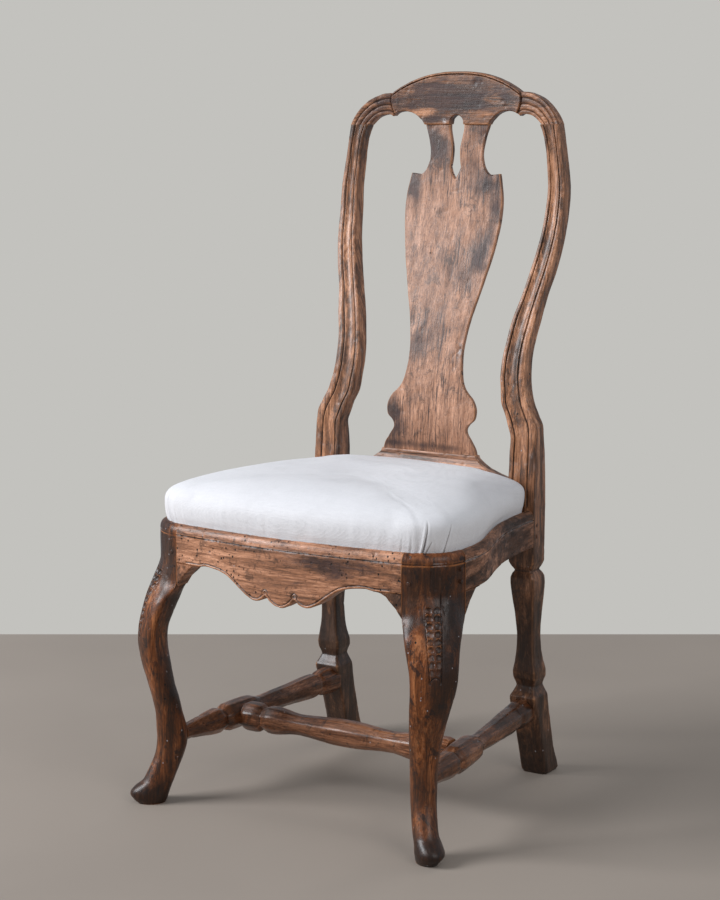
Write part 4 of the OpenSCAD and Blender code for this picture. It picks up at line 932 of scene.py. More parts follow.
def build_bracket(name, front, seed):
    """A knee bracket beside the leg block, under the front rail or the side rail."""
    reach, drop, thick, turn = 42.0, 34.0, 25.0, 3.0
    share, fall = along(BRACKET, np.linspace(0, len(BRACKET) - 1, 46)).T
    at = JOINT_X - reach * (1 - share) if front else JOINT_Y + reach * (1 - share)
    low, top = RAIL_Z - drop * fall - 0.02, RAIL_Z + 0.4
    under = np.minimum(low, top - 0.1)
    edge = np.minimum(low + turn, top - 0.05)
    rows = [(thick, top), (thick, under), (thick * 0.5, under), (turn, under)]
    rows += [(inset, np.minimum(low + rise, top - 0.05)) for inset, rise in rounded_edge(turn, 15)]
    rows += [(0, edge + (top - edge) * s) for s in (0.3, 0.6, 0.85)] + [(0, top)]
    loops = np.zeros((len(at), len(rows), 3))
    for k, (inset, z) in enumerate(rows):
        if front:
            fill(loops, k, at, front_at(at) + inset, z)
        else:
            fill(loops, k, side_at(at) - inset, at, z)
    made = loops_object(name, loops)
    weather(made, seed, dents=8)
    return made


def build_rear_rail():
    x = np.linspace(-POST_IN, POST_IN, 90)
    back = REAR_RAIL_Y + 32.0
    section = [(REAR_RAIL_Y, RAIL_Z + 2), (REAR_RAIL_Y + 2, RAIL_Z), (back - 3, RAIL_Z), (back, RAIL_Z + 3),
               (back, SEAT_H - 3), (back - 3, SEAT_H), (REAR_RAIL_Y + 8.1, SEAT_H), (REAR_RAIL_Y + 8, REBATE_Z),
               (REAR_RAIL_Y + 1, REBATE_Z), (REAR_RAIL_Y, REBATE_Z - 1)]
    dense = []
    for (y0, z0), (y1, z1) in zip(section, section[1:] + section[:1]):
        count = max(1, int(math.hypot(y1 - y0, z1 - z0) / 4))
        dense += [(y0 + (y1 - y0) * k / count, z0 + (z1 - z0) * k / count) for k in range(count)]
    loops = np.zeros((len(x), len(dense), 3))
    for k, (y, z) in enumerate(dense):
        fill(loops, k, x, y, z)
    made = loops_object("rear_rail_wood", loops)
    weather(made, 33, dents=25)
    put(made, material("rail_rear"), "chair", "rail_wood", "rear_rail")


# ---------------------------------------------------------------- pieces: front legs

def leg_frame(a, b):
    return FOOT[0] + (a + b) * DIAGONAL, FOOT[1] + (b - a) * DIAGONAL


def leg_loops():
    """Closed loops up the right front leg, fine where its corner is carved."""
    outer = np.concatenate([np.linspace(-1.3, 1.3, 76), np.linspace(1.3, 4, 26)[1:], np.linspace(4, 12, 40)[1:],
                            np.linspace(12, 14.7, 26)[1:-1]])
    k = np.where(outer < 0, outer + 16, outer)
    fold = np.where(k <= 8, k, 16 - k)
    side = np.where(k <= 8, 1.0, -1.0)
    square = along(LEG_SQUARE, fold)
    angle = fold * math.radians(22.5)
    stations = []
    heights = []
    for share, out, inner, half, shift, corner in LEG_RINGS:
        out, inner, half, shift = (v * KNEE_W for v in (out, inner, half, shift))
        a = (1 - corner) * ((out + inner) / 2 + (out - inner) / 2 * np.cos(angle)) \
            + corner * (out + (inner - out) * square[:, 0])
        b = side * half * ((1 - corner) * np.sin(angle) + corner * square[:, 1])
        x, y = leg_frame(a, b + shift)
        stations.append(np.stack([x, y], 1))
        heights.append(RAIL_Z * share)
    face = OUTLINE[(OUTLINE[:, 0] > JOINT_X) & (OUTLINE[:, 1] < JOINT_Y)]
    corner_line = np.concatenate([[(JOINT_X, front_at(JOINT_X))], face, [(side_at(JOINT_Y), JOINT_Y)]])
    run = run_of(corner_line)
    side_x, front_end = corner_line[-1][0], corner_line[0][1]
    inset = 27.0
    face_x, face_y = side_x - inset, front_end + inset
    a, b, c = np.array([face_x, JOINT_Y]), np.array([JOINT_X, face_y]), np.array([JOINT_X, JOINT_Y])
    push = np.interp(k, range(17), KNEE_PUSH)

    def mix(p, q, t):
        return p + (q - p) * t

    for share, out, cut in KNEE:
        posts = np.array([corner_line[-1], [(side_x + face_x) / 2, JOINT_Y], a,
                          mix(mix(a, c, 0.6), mix(a, b, 0.25), cut), mix(c, mix(a, b, 0.5), cut),
                          mix(mix(b, c, 0.6), mix(b, a, 0.25), cut), b, [JOINT_X, (front_end + face_y) / 2],
                          corner_line[0]])
        ring = np.zeros((len(k), 2))
        inside = (k >= 4) & (k <= 12)
        for d in (0, 1):
            ring[inside, d] = np.interp(k[inside], range(4, 13), posts[:, d])
            along_line = np.where(k < 8, k + 4, k - 12) / 8 * run[-1]
            ring[~inside, d] = np.interp(along_line[~inside], run, corner_line[:, d])
        move = out * KNEE_W * push * DIAGONAL
        ring += np.stack([move, -move], 1)
        stations.append(ring)
        heights.append(KNEE_Z + (RAIL_Z - KNEE_Z) * share)
    stations.append(stations[-1])
    heights.append(FACE_TOP)
    z = steps((0, 14, 12), (14, 60, 22), (60, 245, 64), (245, 366, 130), (366, FACE_TOP, 22))
    places = np.interp(z, heights, np.arange(len(heights)))
    plan = along(np.stack([s.reshape(-1) for s in stations]), places).reshape(len(z), -1, 2)
    # the knee flows out of the block without a ledge
    near = bell(z[:, None] - z[None, :], 11.0) * np.gradient(z)[None, :]
    even = np.einsum("ij,jkd->ikd", near / near.sum(1, keepdims=True), plan)
    amount = np.interp(z, [270, 300, 338, 352], [0, 1, 1, 0])[:, None, None]
    plan = plan + (even - plan) * amount
    # from the rail's underside up the block is upright
    upright = z > RAIL_Z
    plan[upright] = stations[-1]
    return np.concatenate([plan, np.broadcast_to(z[:, None, None], plan.shape[:2] + (1,))], 2), corner_line


def carve_knee(p, depth_scale):
    """Depth cut into the knee's corner: two side lines, two columns of gouged cells and a lunette."""
    dx, dy, z = p[:, 0] - FOOT[0], p[:, 1] - FOOT[1], p[:, 2]
    # the band drifts sideways a little, as the knee's own middle does
    middle = np.interp(z, [240, 300, 332, 366], [0.099, 0.12, 0.16, 0.2]) * KNEE_W * 0.8
    across = (dx + dy) * DIAGONAL - middle
    half = np.interp(z, [262, 300, 366], [8.5, 10.5, 11.5])
    outer = ((dx - dy) * DIAGONAL > np.interp(z, [240, 366], [-8, -24])) & (np.abs(across) < 16)
    rows, low, high = 9, 264.0, 352.0
    place = (z - low) / ((high - low) / rows)
    row = np.floor(place)
    v = place - row - 0.5
    inside = (z > low) & (z < high)
    worn = np.interp(row, [0, 2, 4, 8], [0.45, 0.75, 0.9, 1.15])
    span = unit((z - 250) / 6) * unit((372 - z) / 5)
    cut = np.zeros(len(p))
    for edge in (-1, 1):
        cut += 1.3 * bell(across - edge * half, 0.85) * span
        u = (across - edge * half * 0.5) / (half * 0.43)
        # each gouge is round above and straight below, deepest under its upper edge
        shape = unit(1 - unit(u ** 2 + np.where(v > 0, (v / 0.42) ** 2, (v / 0.46) ** 4)))
        cut += inside * worn * 3.0 * np.sqrt(shape) * (0.55 + 0.45 * unit(v + 0.5))
    cut += 1.1 * bell(np.hypot(across / 7.0, (z - 254) / 7.5) - 1, 0.14) * (z > 252)
    flat = np.stack([across, z], 1)
    for scratch in KNEE_SCRATCHES:
        cut += 0.9 * bell(polyline_distance(flat, np.array(scratch)), 0.9)
    return np.where(outer | (z > RAIL_Z), cut, 0) * depth_scale


def build_front_leg():
    loops, corner_line = leg_loops()
    top = loops[-1, :, :2]
    middle = top.mean(0)
    cap = [np.column_stack([middle + (top - middle) * shrink, np.full(len(top), z)])
           for z, shrink in ((FACE_TOP, 0.965), (REBATE_Z, 0.96))]
    body = np.concatenate([loops, np.stack(cap)])
    # the lip follows the block's face from one joint to the other
    run = run_of(corner_line)
    s = np.linspace(0, run[-1], 90)
    x, y = on_line(s, run, corner_line).T
    turn = np.radians(90 + 90 * (s / run[-1]))
    profile = LIP + [(LIP_W, FACE_TOP - 1), (2, FACE_TOP - 1)]
    lip = np.zeros((len(s), len(profile), 3))
    for k, (inset, z) in enumerate(profile):
        fill(lip, k, x + np.cos(turn) * inset, y + np.sin(turn) * inset, z)
    made = loops_object("right_front_leg_wood", body, lip)
    p, n = read_points(made.data), read_normals(made.data)
    cut = carve_knee(p, sizes().carving)
    p -= n * (cut * (np.abs(n[:, 2]) < 0.8))[:, None]
    write_points(made.data, p)
    near = unit(cut - 0.6) * unit(noise3(p, 6, 8)) * 0.5
    groove = bell(p[:, 2] - GROOVE_Z, 1.5) * unit(noise3(p, 14, 9) + 0.5)
    groove *= (p[:, 0] - p[:, 1]) * DIAGONAL > (HALF_W - FRONT_Y) * DIAGONAL - 45
    set_attribute(made.data, "chalk", np.maximum(near, groove))
    return made


# ---------------------------------------------------------------- pieces: posts

def rounded_ring(x, y, w, d, cuts, front_rows, arc=5, side_rows=7):
    """Points round a post's section, and the share across its front for those on the front face."""
    outer, inner, back = cuts
    left, right, rear = x - w / 2, x + w / 2, y + d
    points = []

    def corner(cx, cy, radius, start):
        for angle in np.radians(start + 90 * np.arange(arc + 1) / arc):
            points.append((cx + radius * math.cos(angle), cy + radius * math.sin(angle)))

    def edge(start, end, count):
        points.extend(between(np.array(start), np.array(end), count))

    corner(right - outer, y + outer, outer, 270)
    edge((right, y + outer), (right, rear - back), side_rows)
    corner(right - back, rear - back, back, 0)
    edge((right - back, rear), (left + back, rear), side_rows)
    corner(left + back, rear - back, back, 90)
    edge((left, rear - back), (left, y + inner), side_rows)
    corner(left + inner, y + inner, inner, 180)
    across = [-1] * len(points) + list(np.linspace(0, 1, front_rows + 2)[1:-1])
    edge((left + inner, y), (right - outer, y), front_rows)
    return points, across


# Across a post's front from the inner edge: place and height of the moulding
MOULDING = [(0, 0.0), (0.03, 0.25), (0.07, 0.3), (0.11, 0.0), (0.135, -1.5), (0.16, -1.4), (0.185, -0.1),
            (0.23, -0.4), (0.33, -1.2), (0.43, -1.5), (0.53, -1.2), (0.62, -0.4), (0.66, 0.0), (0.7, 0.0),
            (0.725, -1.4), (0.75, -1.5), (0.775, -0.2), (0.82, 0.4), (0.88, 0.5), (0.94, 0.3), (1, -0.2)]


def build_post():
    middle, crest_z, lean = POST_OUT - POST_W / 2, CREST_Z - SEAT_H, CREST_Y - POST_Y
    sweep, ease = 43.0, POST_T * 0.079
    table = [(RAIL_Z * s, middle + POST_W * x, POST_Y + sweep * y, POST_W * w, POST_T * d, POST_T * cut, ease, ease)
             for s, x, y, w, d, cut in REAR_LEG]
    for s, x, y, w, d in UPRIGHT:
        front, back = (0.03, 0.06) if s < 0.16 else (0.04, 0.11)
        table.append((SEAT_H + crest_z * s, middle - POST_W * x, POST_Y + lean * y, POST_W * w, POST_T * d,
                      POST_T * front + 0.6, POST_T * front + 0.6, POST_T * back))
    table = np.array(table)
    z = steps((0, 8, 6), (8, 128, 44), (128, 172, 40), (172, 300, 50), (300, 352, 44), (352, 520, 60),
              (520, 570, 34), (570, CREST_Z, 150))
    rows = smooth_table(table, z)
    # turned necks keep their crisp shoulders
    straight = np.stack([np.interp(z, table[:, 0], column) for column in table.T], 1)
    crisp = ((z > 128) & (z < 175) | (z > 300) & (z < 352))[:, None]
    rows = np.where(crisp, 0.5 * rows + 0.5 * straight, rows)
    loops, marks = [], None
    for height, x, y, w, d, outer, inner, back in rows:
        ease = 1.2 if height < RAIL_Z else 1.0
        points, marks = rounded_ring(x, y, w, d, (outer * ease, inner * ease, back), 44)
        loops.append([(px, py, height) for px, py in points])
    loops, marks = np.array(loops), np.array(marks)
    front = marks >= 0
    relief = np.interp(marks[front], *np.array(MOULDING).T)
    strength = np.interp(z, [426, 440, CREST_Z], [1.1, 1.5, 1.3]) * (z > 426) * np.sqrt(rows[:, 3] / POST_W)
    loops[:, front, 1] -= relief[None, :] * strength[:, None]
    # the foot's bottom edge is rounded
    foot = 6
    for j in np.flatnonzero(z < foot):
        centre = loops[j, :, :2].mean(0)
        loops[j, :, :2] = centre + (loops[j, :, :2] - centre) * (1 - 0.1 * (1 - z[j] / foot) ** 2)
    made = loops_object("right_post_wood", loops)
    p = read_points(made.data)
    set_attribute(made.data, "chalk", 0.6 * unit(noise3(p, 4, 12) - 0.5) * (p[:, 2] > 430) * (noise3(p, 60, 2) > -0.2))
    return made


# ---------------------------------------------------------------- pieces: crest, splat and shoe

def bow(x):
    """How far back the crest's middle line is, curved as seen from above."""
    return CREST_Y + CREST_BOW * (1 - np.minimum(np.abs(x) / CREST_HALF, 1) ** 2)


def crest_thickness(x):
    return 15.0 + 7.5 * (np.abs(x) / CREST_HALF) ** 4


def crest_columns(per_part=14):
    at = fine_places(CREST_TOP, per_part)
    top = along_with_corners(CREST_TOP, at, [8])
    low = along_with_corners(CREST_LOW, np.interp(at, range(len(CREST_PAIRS)), CREST_PAIRS), [4, 5, 13])
    low[0] = CREST_LOW[0]
    place = np.array([POST_OUT, CREST_RISE])
    return top * place + (0, CREST_Z), low * place + (0, CREST_Z)


def panel_end(z):
    """How far the raised panel reaches at height z."""
    return np.interp(z, [1004, 1012, 1021, 1030, 1038, 1046, 1060], [104.5, 108.5, 112, 114.5, 114, 111, 104])


def build_crest():
    top, low = crest_columns()
    across = steps((0, 0.12, 12), (0.12, 0.88, 44), (0.88, 1, 12))
    back_rows = np.linspace(1, 0, 14)
    half = []
    for t, b in zip(top, low):
        line = t + (b - t) * across[:, None]
        x, z = line[:, 0], line[:, 1]
        length = np.hypot(*(b - t))
        from_top, from_low = across * length, (1 - across) * length
        ease = np.minimum(from_top, from_low)
        rounding = 1.4 * (1 - unit(ease / 1.6)) ** 2
        inside = unit((panel_end(z) - x) / 1.6 + 0.5)
        panel = 2.6 - 2.4 * np.exp(-((from_top - 4.0) / 0.8) ** 2) - 0.9 * unit(1 - from_top / 3.4)
        reed = across * 3.6 + 0.1
        beads = -1.7 * (1 - np.abs(np.sin(np.pi * reed))) ** 2.2 + 0.5
        beads *= unit((from_low - 1) / 4)
        groove = -1.3 * np.exp(-((x - panel_end(z) - 1.2) / 1.1) ** 2)
        relief = panel * inside + (beads + groove) * (1 - inside)
        front = np.stack([x, bow(x) - relief + rounding, z], 1)
        line = t + (b - t) * back_rows[:, None]
        x, z = line[:, 0], line[:, 1]
        edge = np.minimum(back_rows, 1 - back_rows) * length
        rounding = 3.0 * (1 - unit(edge / 3.5)) ** 2
        back = np.stack([x, bow(x) + crest_thickness(x) - rounding, z], 1)
        half.append(np.concatenate([front, between(front[-1], back[0], 6), back, between(back[-1], front[0], 6)]))
    half = np.array(half)
    whole = np.concatenate([half[:0:-1] * (-1, 1, 1), half])
    made = loops_object("crest_wood", whole)
    p = read_points(made.data)
    on_front = p[:, 1] < bow(p[:, 0]) + 3
    chip = bell(p[:, 0] + 22, 3.2) * bell(p[:, 2] - 1001, 3.0) * on_front
    p[:, 1] += 1.6 * chip
    write_points(made.data, p)
    set_attribute(made.data, "chalk", unit(1.5 * chip))
    darken(made, CREST_PLACES)
    weather(made, 41, dents=45)
    put(made, material("crest"), "chair", "crest_wood", "crest_rail")


def splat_front(z):
    share = (z - SHOE_TOP) / (CREST_Z - SHOE_TOP)
    reach = CREST_Y + CREST_BOW + 1 - SPLAT_Y
    lean = smooth_table(SPLAT_LEAN, np.clip(share, -0.08, 1.06))
    return SPLAT_Y + reach * lean[:, 1]


def build_splat():
    per, thick = 9, 8.0
    at = fine_places(SPLAT_EDGE, per)
    place = np.array([SPLAT_HALF, CREST_Z - SHOE_TOP])
    outer = along_with_corners(SPLAT_EDGE, at, [24]) * place + (0, SHOE_TOP)
    hole = along_with_corners(SPLAT_HOLE, np.linspace(0, len(SPLAT_HOLE) - 1, 120), [2]) * place + (0, SHOE_TOP)
    # the inner line runs up the middle, then round the slot; near the shoulder it lags behind the edge
    lag = np.interp(at, [0, 22, 24, 25, 26, 27, 28, 31],
                    [SHOE_TOP, outer[22 * per, 1], 908, 914, 920, 927, outer[28 * per, 1], CREST_Z])
    inner_z = np.maximum.accumulate(np.where(at < 22, np.maximum.accumulate(outer[:, 1]), lag))
    slot_x = np.interp(inner_z, np.maximum.accumulate(hole[:, 1]), hole[:, 0])
    inner = np.stack([np.where(inner_z <= hole[0, 1], 0, slot_x), inner_z], 1)
    across = steps((0, 0.9, 26), (0.9, 1, 8))
    rows = []
    for o, i in zip(outer, inner):
        line = i + (o - i) * across[:, None]
        length = np.hypot(*(o - i))
        to_slot = across * length if i[0] > 0.01 else np.full(len(across), 99.0)
        ease = 0.9 * (1 - unit(np.minimum((1 - across) * length, to_slot) / 1.3)) ** 2
        face = splat_front(line[:, 1])
        front = np.stack([line[:, 0], face + ease, line[:, 1]], 1)
        back = np.stack([line[:, 0], face + thick - 1.4 * ease, line[:, 1]], 1)[::-1]
        rows.append(np.concatenate([front, between(front[-1], back[0], 3), back, between(back[-1], front[0], 3)]))
    loops = np.array(rows)
    count = loops.shape[1]
    closed = [j for j in range(len(rows) - 1) if inner[j, 0] < 0.01 and inner[j + 1, 0] < 0.01]
    faces = loop_faces(len(rows), count, 0, {(j, n) for j in closed for n in range(count - 4, count)})
    points = loops.reshape(-1, 3)
    twin_faces = [[len(points) + v for v in reversed(f)] for f in faces]
    made = make_object("splat_wood", np.concatenate([points, points * (-1, 1, 1)]), faces + twin_faces)
    face_out(made)
    p = read_points(made.data)
    cut = np.zeros(len(p))
    for start, end, depth in SPLAT_SCRATCHES:
        cut += depth * bell(polyline_distance(p[:, [0, 2]], np.array([start, end], float)), 0.8)
    chip = bell(p[:, 0] - 41, 4) * bell(p[:, 2] - 655, 14)
    p[:, 1] += np.where(p[:, 1] < splat_front(p[:, 2]) + 4, cut + chip, 0)
    write_points(made.data, p)
    set_attribute(made.data, "chalk", unit(chip * noise3(p, 5, 14) * 1.4))
    darken(made, SPLAT_PLACES)
    weather(made, 43, wave=0.5, dents=50)
    put(made, material("splat"), "chair", "splat_wood", "splat")


def build_shoe():
    end, face = np.array(SHOE_END), np.array(SHOE_FACE)
    share = steps((0, 0.5, 10), (0.5, 0.6, 16), (0.6, 0.86, 24), (0.86, 1, 22))
    half = POST_IN * np.interp(share, end[:, 1], end[:, 0])
    shoe_y = POST_Y + 13.0
    front = shoe_y + (SPLAT_Y - shoe_y) * np.interp(share, face[:, 1], face[:, 0])
    back = np.interp(share, [0, 0.35, 0.5, 1], [REAR_RAIL_Y + 36, REAR_RAIL_Y + 36, SPLAT_Y + 12, SPLAT_Y + 12])
    loops = []
    c = 1.2
    for s, h, y0, y1 in zip(share, half, front, back):
        z = SEAT_H + (SHOE_TOP - SEAT_H) * s
        xs = np.linspace(-h + c, h - c, 120)
        ring = [(x, y0, z) for x in xs] + [(h, y0 + c, z)]
        ring += [(h, y, z) for y in np.linspace(y0 + c, y1 - c, 8)[1:-1]] + [(h, y1 - c, z)]
        ring += [(x, y1, z) for x in xs[::-4]] + [(-h, y1 - c, z)]
        ring += [(-h, y, z) for y in np.linspace(y1 - c, y0 + c, 8)[1:-1]] + [(-h, y0 + c, z)]
        loops.append(ring)
    made = loops_object("splat_shoe_wood", np.array(loops))
    weather(made, 47, dents=30)
    put(made, material("shoe"), "chair", "back_wood", "splat_shoe")


# ---------------------------------------------------------------- pieces: stretchers

def bar_loops(start, end, table, size, spin=22.5, count=6, crisp=0.35):
    """Eight-sided bar between two points, its corners a little eased."""
    start, end = np.array(start, float), np.array(end, float)
    axis = (end - start) / np.linalg.norm(end - start)
    side = np.cross(axis, (0, 0, 1))
    side /= np.linalg.norm(side)
    rise = np.cross(side, axis)
    places, widths = np.array(table).T
    low, high = places[0], places[-1]
    at = np.unique(np.concatenate([np.linspace(low, high, 150)] + [np.linspace(t - 0.012, t + 0.012, 7)
                                                                  for t in places]))
    at = at[(at >= low) & (at <= high)]
    wide = (1 - crisp) * smooth_table(table, at)[:, 1] + crisp * np.interp(at, places, widths)
    angles = np.radians(spin + 45 * np.arange(9))
    corners = np.stack([np.cos(angles), np.sin(angles)], 1) / (2 * math.cos(math.radians(22.5)))
    shares = np.linspace(0.08, 0.92, count)[:, None]
    ring = np.concatenate([a + (b - a) * shares for a, b in zip(corners[:-1], corners[1:])])
    section = np.outer(ring[:, 0], side) + np.outer(ring[:, 1], rise)
    centres = start + (end - start) * at[:, None]
    return centres[:, None, :] + section[None] * (wide * size)[:, None, None]


def build_stretchers():
    side_w, cross_w, cross_z, share = 41.0, 40.0, 101.0, 0.35
    side = loops_object("right_side_stretcher_wood", bar_loops(BAR_FRONT, BAR_REAR, SIDE_BAR, side_w))
    left = mirrored_copy(side, "left_side_stretcher_wood")
    x, y, _ = (a + (b - a) * share for a, b in zip(BAR_FRONT, BAR_REAR))
    table = [(-s, v) for s, v in reversed(CROSS_BAR[1:])] + CROSS_BAR
    cross = loops_object("cross_stretcher_wood",
                         bar_loops((0, y, cross_z), (x - side_w / 2 + 3, y, cross_z), table, cross_w))
    # the lighter place along the cross stretcher is dust and painted sheen
    darken(cross, [(60, 0, cross_z, 110, ALL, 40, -2.2)])
    for made, seed, key, node in ((side, 51, "bar", "right_side_stretcher"), (left, 53, "bar", "left_side_stretcher"),
                                  (cross, 55, "cross", "cross_stretcher")):
        weather(made, seed, wave=0.6, dents=30, sharp=28)
        put(made, material(key), "chair", "stretcher_wood", node)


# ---------------------------------------------------------------- pegs and tacks, set out by nodes

def pin_tree():
    """A node tree that sets a round pin on each point, along the point's own direction."""
    tree = bpy.data.node_groups.new("Pins on points", "GeometryNodeTree")
    for label, kind, value in (("Geometry", "Geometry", None), ("Radius", "Float", 0.003),
                               ("Length", "Float", 0.026), ("Dome", "Float", 0.3), ("Sides", "Int", 20),
                               ("Seed", "Int", 3), ("Finish", "Material", None)):
        socket = tree.interface.new_socket(label, in_out="INPUT", socket_type="NodeSocket" + kind)
        if value is not None:
            socket.default_value = value
    tree.interface.new_socket("Geometry", in_out="OUTPUT", socket_type="NodeSocketGeometry")

    def add(kind, inputs=None, **values):
        return add_node(tree, kind, inputs, **values).outputs

    given = add("NodeGroupInput")
    shank = add("GeometryNodeMeshCylinder", {"Vertices": given["Sides"], "Radius": given["Radius"],
                                             "Depth": given["Length"]})
    head = add("GeometryNodeMeshUVSphere", {"Segments": given["Sides"], "Rings": 8, "Radius": given["Radius"]})
    flat = add("ShaderNodeCombineXYZ", {0: 0.97, 1: 0.97, 2: given["Dome"]})
    lift = add("ShaderNodeMath", {0: given["Length"], 1: 2.0}, operation="DIVIDE")
    up = add("ShaderNodeCombineXYZ", {2: lift[0]})
    place = add("GeometryNodeTransform", {"Geometry": head["Mesh"], "Scale": flat[0], "Translation": up[0]})
    both = add_node(tree, "GeometryNodeJoinGeometry")
    for part in (place["Geometry"], shank["Mesh"]):
        tree.links.new(part, both.inputs["Geometry"])
    way = add("GeometryNodeInputNamedAttribute", {"Name": "way"}, data_type="FLOAT_VECTOR")
    turn = add("FunctionNodeAlignRotationToVector", {"Vector": way["Attribute"]}, axis="Z")
    spread = add("FunctionNodeRandomValue", {2: 0.94, 3: 1.04, "Seed": given["Seed"]}, data_type="FLOAT")
    points = add("GeometryNodeMeshToPoints", {"Mesh": given["Geometry"]})
    pins = add("GeometryNodeInstanceOnPoints", {"Points": points["Points"], "Instance": both.outputs["Geometry"],
                                                "Rotation": turn["Rotation"], "Scale": spread[1]})
    real = add("GeometryNodeRealizeInstances", {"Geometry": pins["Instances"]})
    paint = add("GeometryNodeSetMaterial", {"Geometry": real["Geometry"], "Material": given["Finish"]})
    add("NodeGroupOutput", {"Geometry": paint["Geometry"]})
    return tree


def set_pins(name, places, tree, **values):
    """Pins at (point, direction) places, each direction pointing out of the wood, as one plain mesh."""
    base = make_object(name + "_points", [p for p, _ in places], [])
    way = base.data.attributes.new("way", "FLOAT_VECTOR", "POINT")
    way.data.foreach_set("vector", np.array([d for _, d in places], np.float32).ravel())
    fit = base.modifiers.new("Pins", "NODES")
    fit.node_group = tree
    for item in tree.interface.items_tree:
        if item.item_type == "SOCKET" and item.in_out == "INPUT" and item.name in values:
            fit[item.identifier] = values[item.name]
    bpy.context.view_layer.update()
    mesh = bpy.data.meshes.new_from_object(evaluated(base))
    mesh.name = name
    made = add_object(name, mesh)
    bpy.data.objects.remove(base, do_unlink=True)
    finish_shading(made, 40)
    for mark in ("edge", "hollow", "chalk", "dark"):
        set_attribute(mesh, mark, np.zeros(len(mesh.vertices)))
    return made


PEG_LEVELS = [RAIL_Z + 8 + (REBATE_Z - 6 - (RAIL_Z + 8)) * s for s in (0.25, 0.8)]
PEG_OUT = 0.2
PEG_DOME = 0.14
TACK_DOME = 0.16
TACK_L = 0.6
PIN_SIDES = 14


def leg_pegs():
    x, y, sink = JOINT_X + 10, JOINT_Y - 10, PEG_L / 2 - PEG_OUT
    places = []
    for z in PEG_LEVELS:
        places += [((x, front_at(x) + sink, z), (0, -1, 0)), ((side_at(y) - sink, y, z), (1, 0, 0))]
    return places


def post_pegs():
    return [((POST_OUT - PEG_L / 2 + PEG_OUT, POST_Y + 11, z), (1, 0, 0)) for z in PEG_LEVELS]


def crest_pegs():
    x = POST_OUT - POST_W / 2 - POST_W * 0.15 - 6
    return [((x, bow(x) + crest_thickness(x) - CREST_PEG_L / 2 + 0.3, CREST_Z + 7), (0, 1, 0))]


def tacks(first=18.0, pitch=36.0, inset=33.0):
    """Tacks along the hem, away from the leg blocks and the posts."""
    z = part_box("cover_tacks")[1][2] / MM - 9.4
    line = seat_plan(-inset)
    run = run_of(line)
    return [((x, y, z), (0, 0, -1)) for x, y in on_line(np.arange(first, run[-1], pitch), run, line).tolist()
            if (abs(x) < JOINT_X - 8 or y > JOINT_Y + 8) and y < POST_Y - 34]


def both_ways(places):
    return places + [((-x, y, z), (-u, v, w)) for (x, y, z), (u, v, w) in places]


# ---------------------------------------------------------------- seat

def seat_plan(grow=0.0):
    """The cushion's outline seen from above, from the middle of the front round to the middle of the back."""
    step = LIP_W + 2.0 - grow
    line = OUTLINE.copy()
    tangent = np.gradient(line, axis=0)
    tangent /= np.linalg.norm(tangent, axis=1)[:, None]
    inner = line + np.stack([-tangent[:, 1], tangent[:, 0]], 1) * step
    notch_y, rear_y, notch_x = POST_Y - 2, POST_Y + 11, POST_IN - 2
    keep = inner[inner[:, 1] < notch_y - 26]
    x = float(np.interp(notch_y - 22, inner[TURN:, 1], inner[TURN:, 0]))
    tail = np.array([[x, notch_y - 22], [x - 3, notch_y - 10], [x - 11, notch_y - 2], [x - 19, notch_y - 0.5],
                     [notch_x + 3, notch_y + 1.5], [notch_x - 1, notch_y + 6], [notch_x - 4, rear_y - 3],
                     [notch_x - 10, rear_y]])
    tail = along(tail, np.linspace(0, len(tail) - 1, 30))
    back = np.stack([np.linspace(notch_x - 10, 0, 34)[1:], np.full(33, rear_y)], 1)
    half = np.concatenate([keep, tail, back])
    # the points lie closer together round the front corner, where the pleats are
    run = run_of(half)
    even = np.linspace(0, run[-1], 2000)
    weight = np.cumsum(1 + 3.4 * bell(even - run[np.argmax(half[:, 0] - half[:, 1])], 62))
    return on_line(np.interp(np.linspace(weight[0], weight[-1], 178), weight, even), run, half)


def cushion_loops():
    half = seat_plan()
    ring = np.concatenate([half, (half * (-1, 1))[-2:0:-1]])
    middle = np.array([0, SEAT_MIDDLE])
    out = ring - middle
    out /= np.linalg.norm(out, axis=1)[:, None]
    crown, swell = sizes().crown / MM, sizes().swell / MM
    loops = []

    def add(plan, z):
        loops.append(np.column_stack([plan, np.broadcast_to(z, len(ring))]))

    for spread in INSIDE_SPREADS:
        add(middle + (ring - middle) * spread, INSIDE_Z)
    for inset, z in HEM:
        add(ring - out * inset, z)
    corner = unit(np.abs(ring[:, 0]) / 200) ** 3 * unit((ring[:, 1] + 90) / 190) ** 2
    rear = unit((ring[:, 1] - (POST_Y - 12)) / 10)
    places = np.concatenate([np.linspace(0, 5, 18)[:-1], np.linspace(5, len(CROWN) - 1, 19)])
    for rise, spread, bulge in along(CROWN, places):
        push = swell * bulge * (1 - 0.8 * rear)
        drop = 1 - 0.13 * corner * unit(rise) * max(0, 1 - spread / 0.6)
        moved = out * np.stack([push, push * (1 - rear)], 1)
        add(middle + (ring - middle) * (1 - spread) + moved, SEAT_H + crown * rise * drop)
    top = loops[-1]
    for spread in np.linspace(1, 0.05, 11)[1:]:
        add(middle + (top[:, :2] - middle) * spread, top[:, 2])
    return np.array(loops)


def smooth_field(mesh, values, passes):
    """Each vertex's vector evened out over its neighbours."""
    e = read_edges(mesh)
    count = np.bincount(e.ravel(), minlength=len(values))[:, None] + 1e-9
    for _ in range(passes):
        near = np.stack([edge_sum(e, v[e[:, 1]], v[e[:, 0]], len(v)) for v in values.T], 1)
        values = 0.4 * values + 0.6 * near / count
    return values


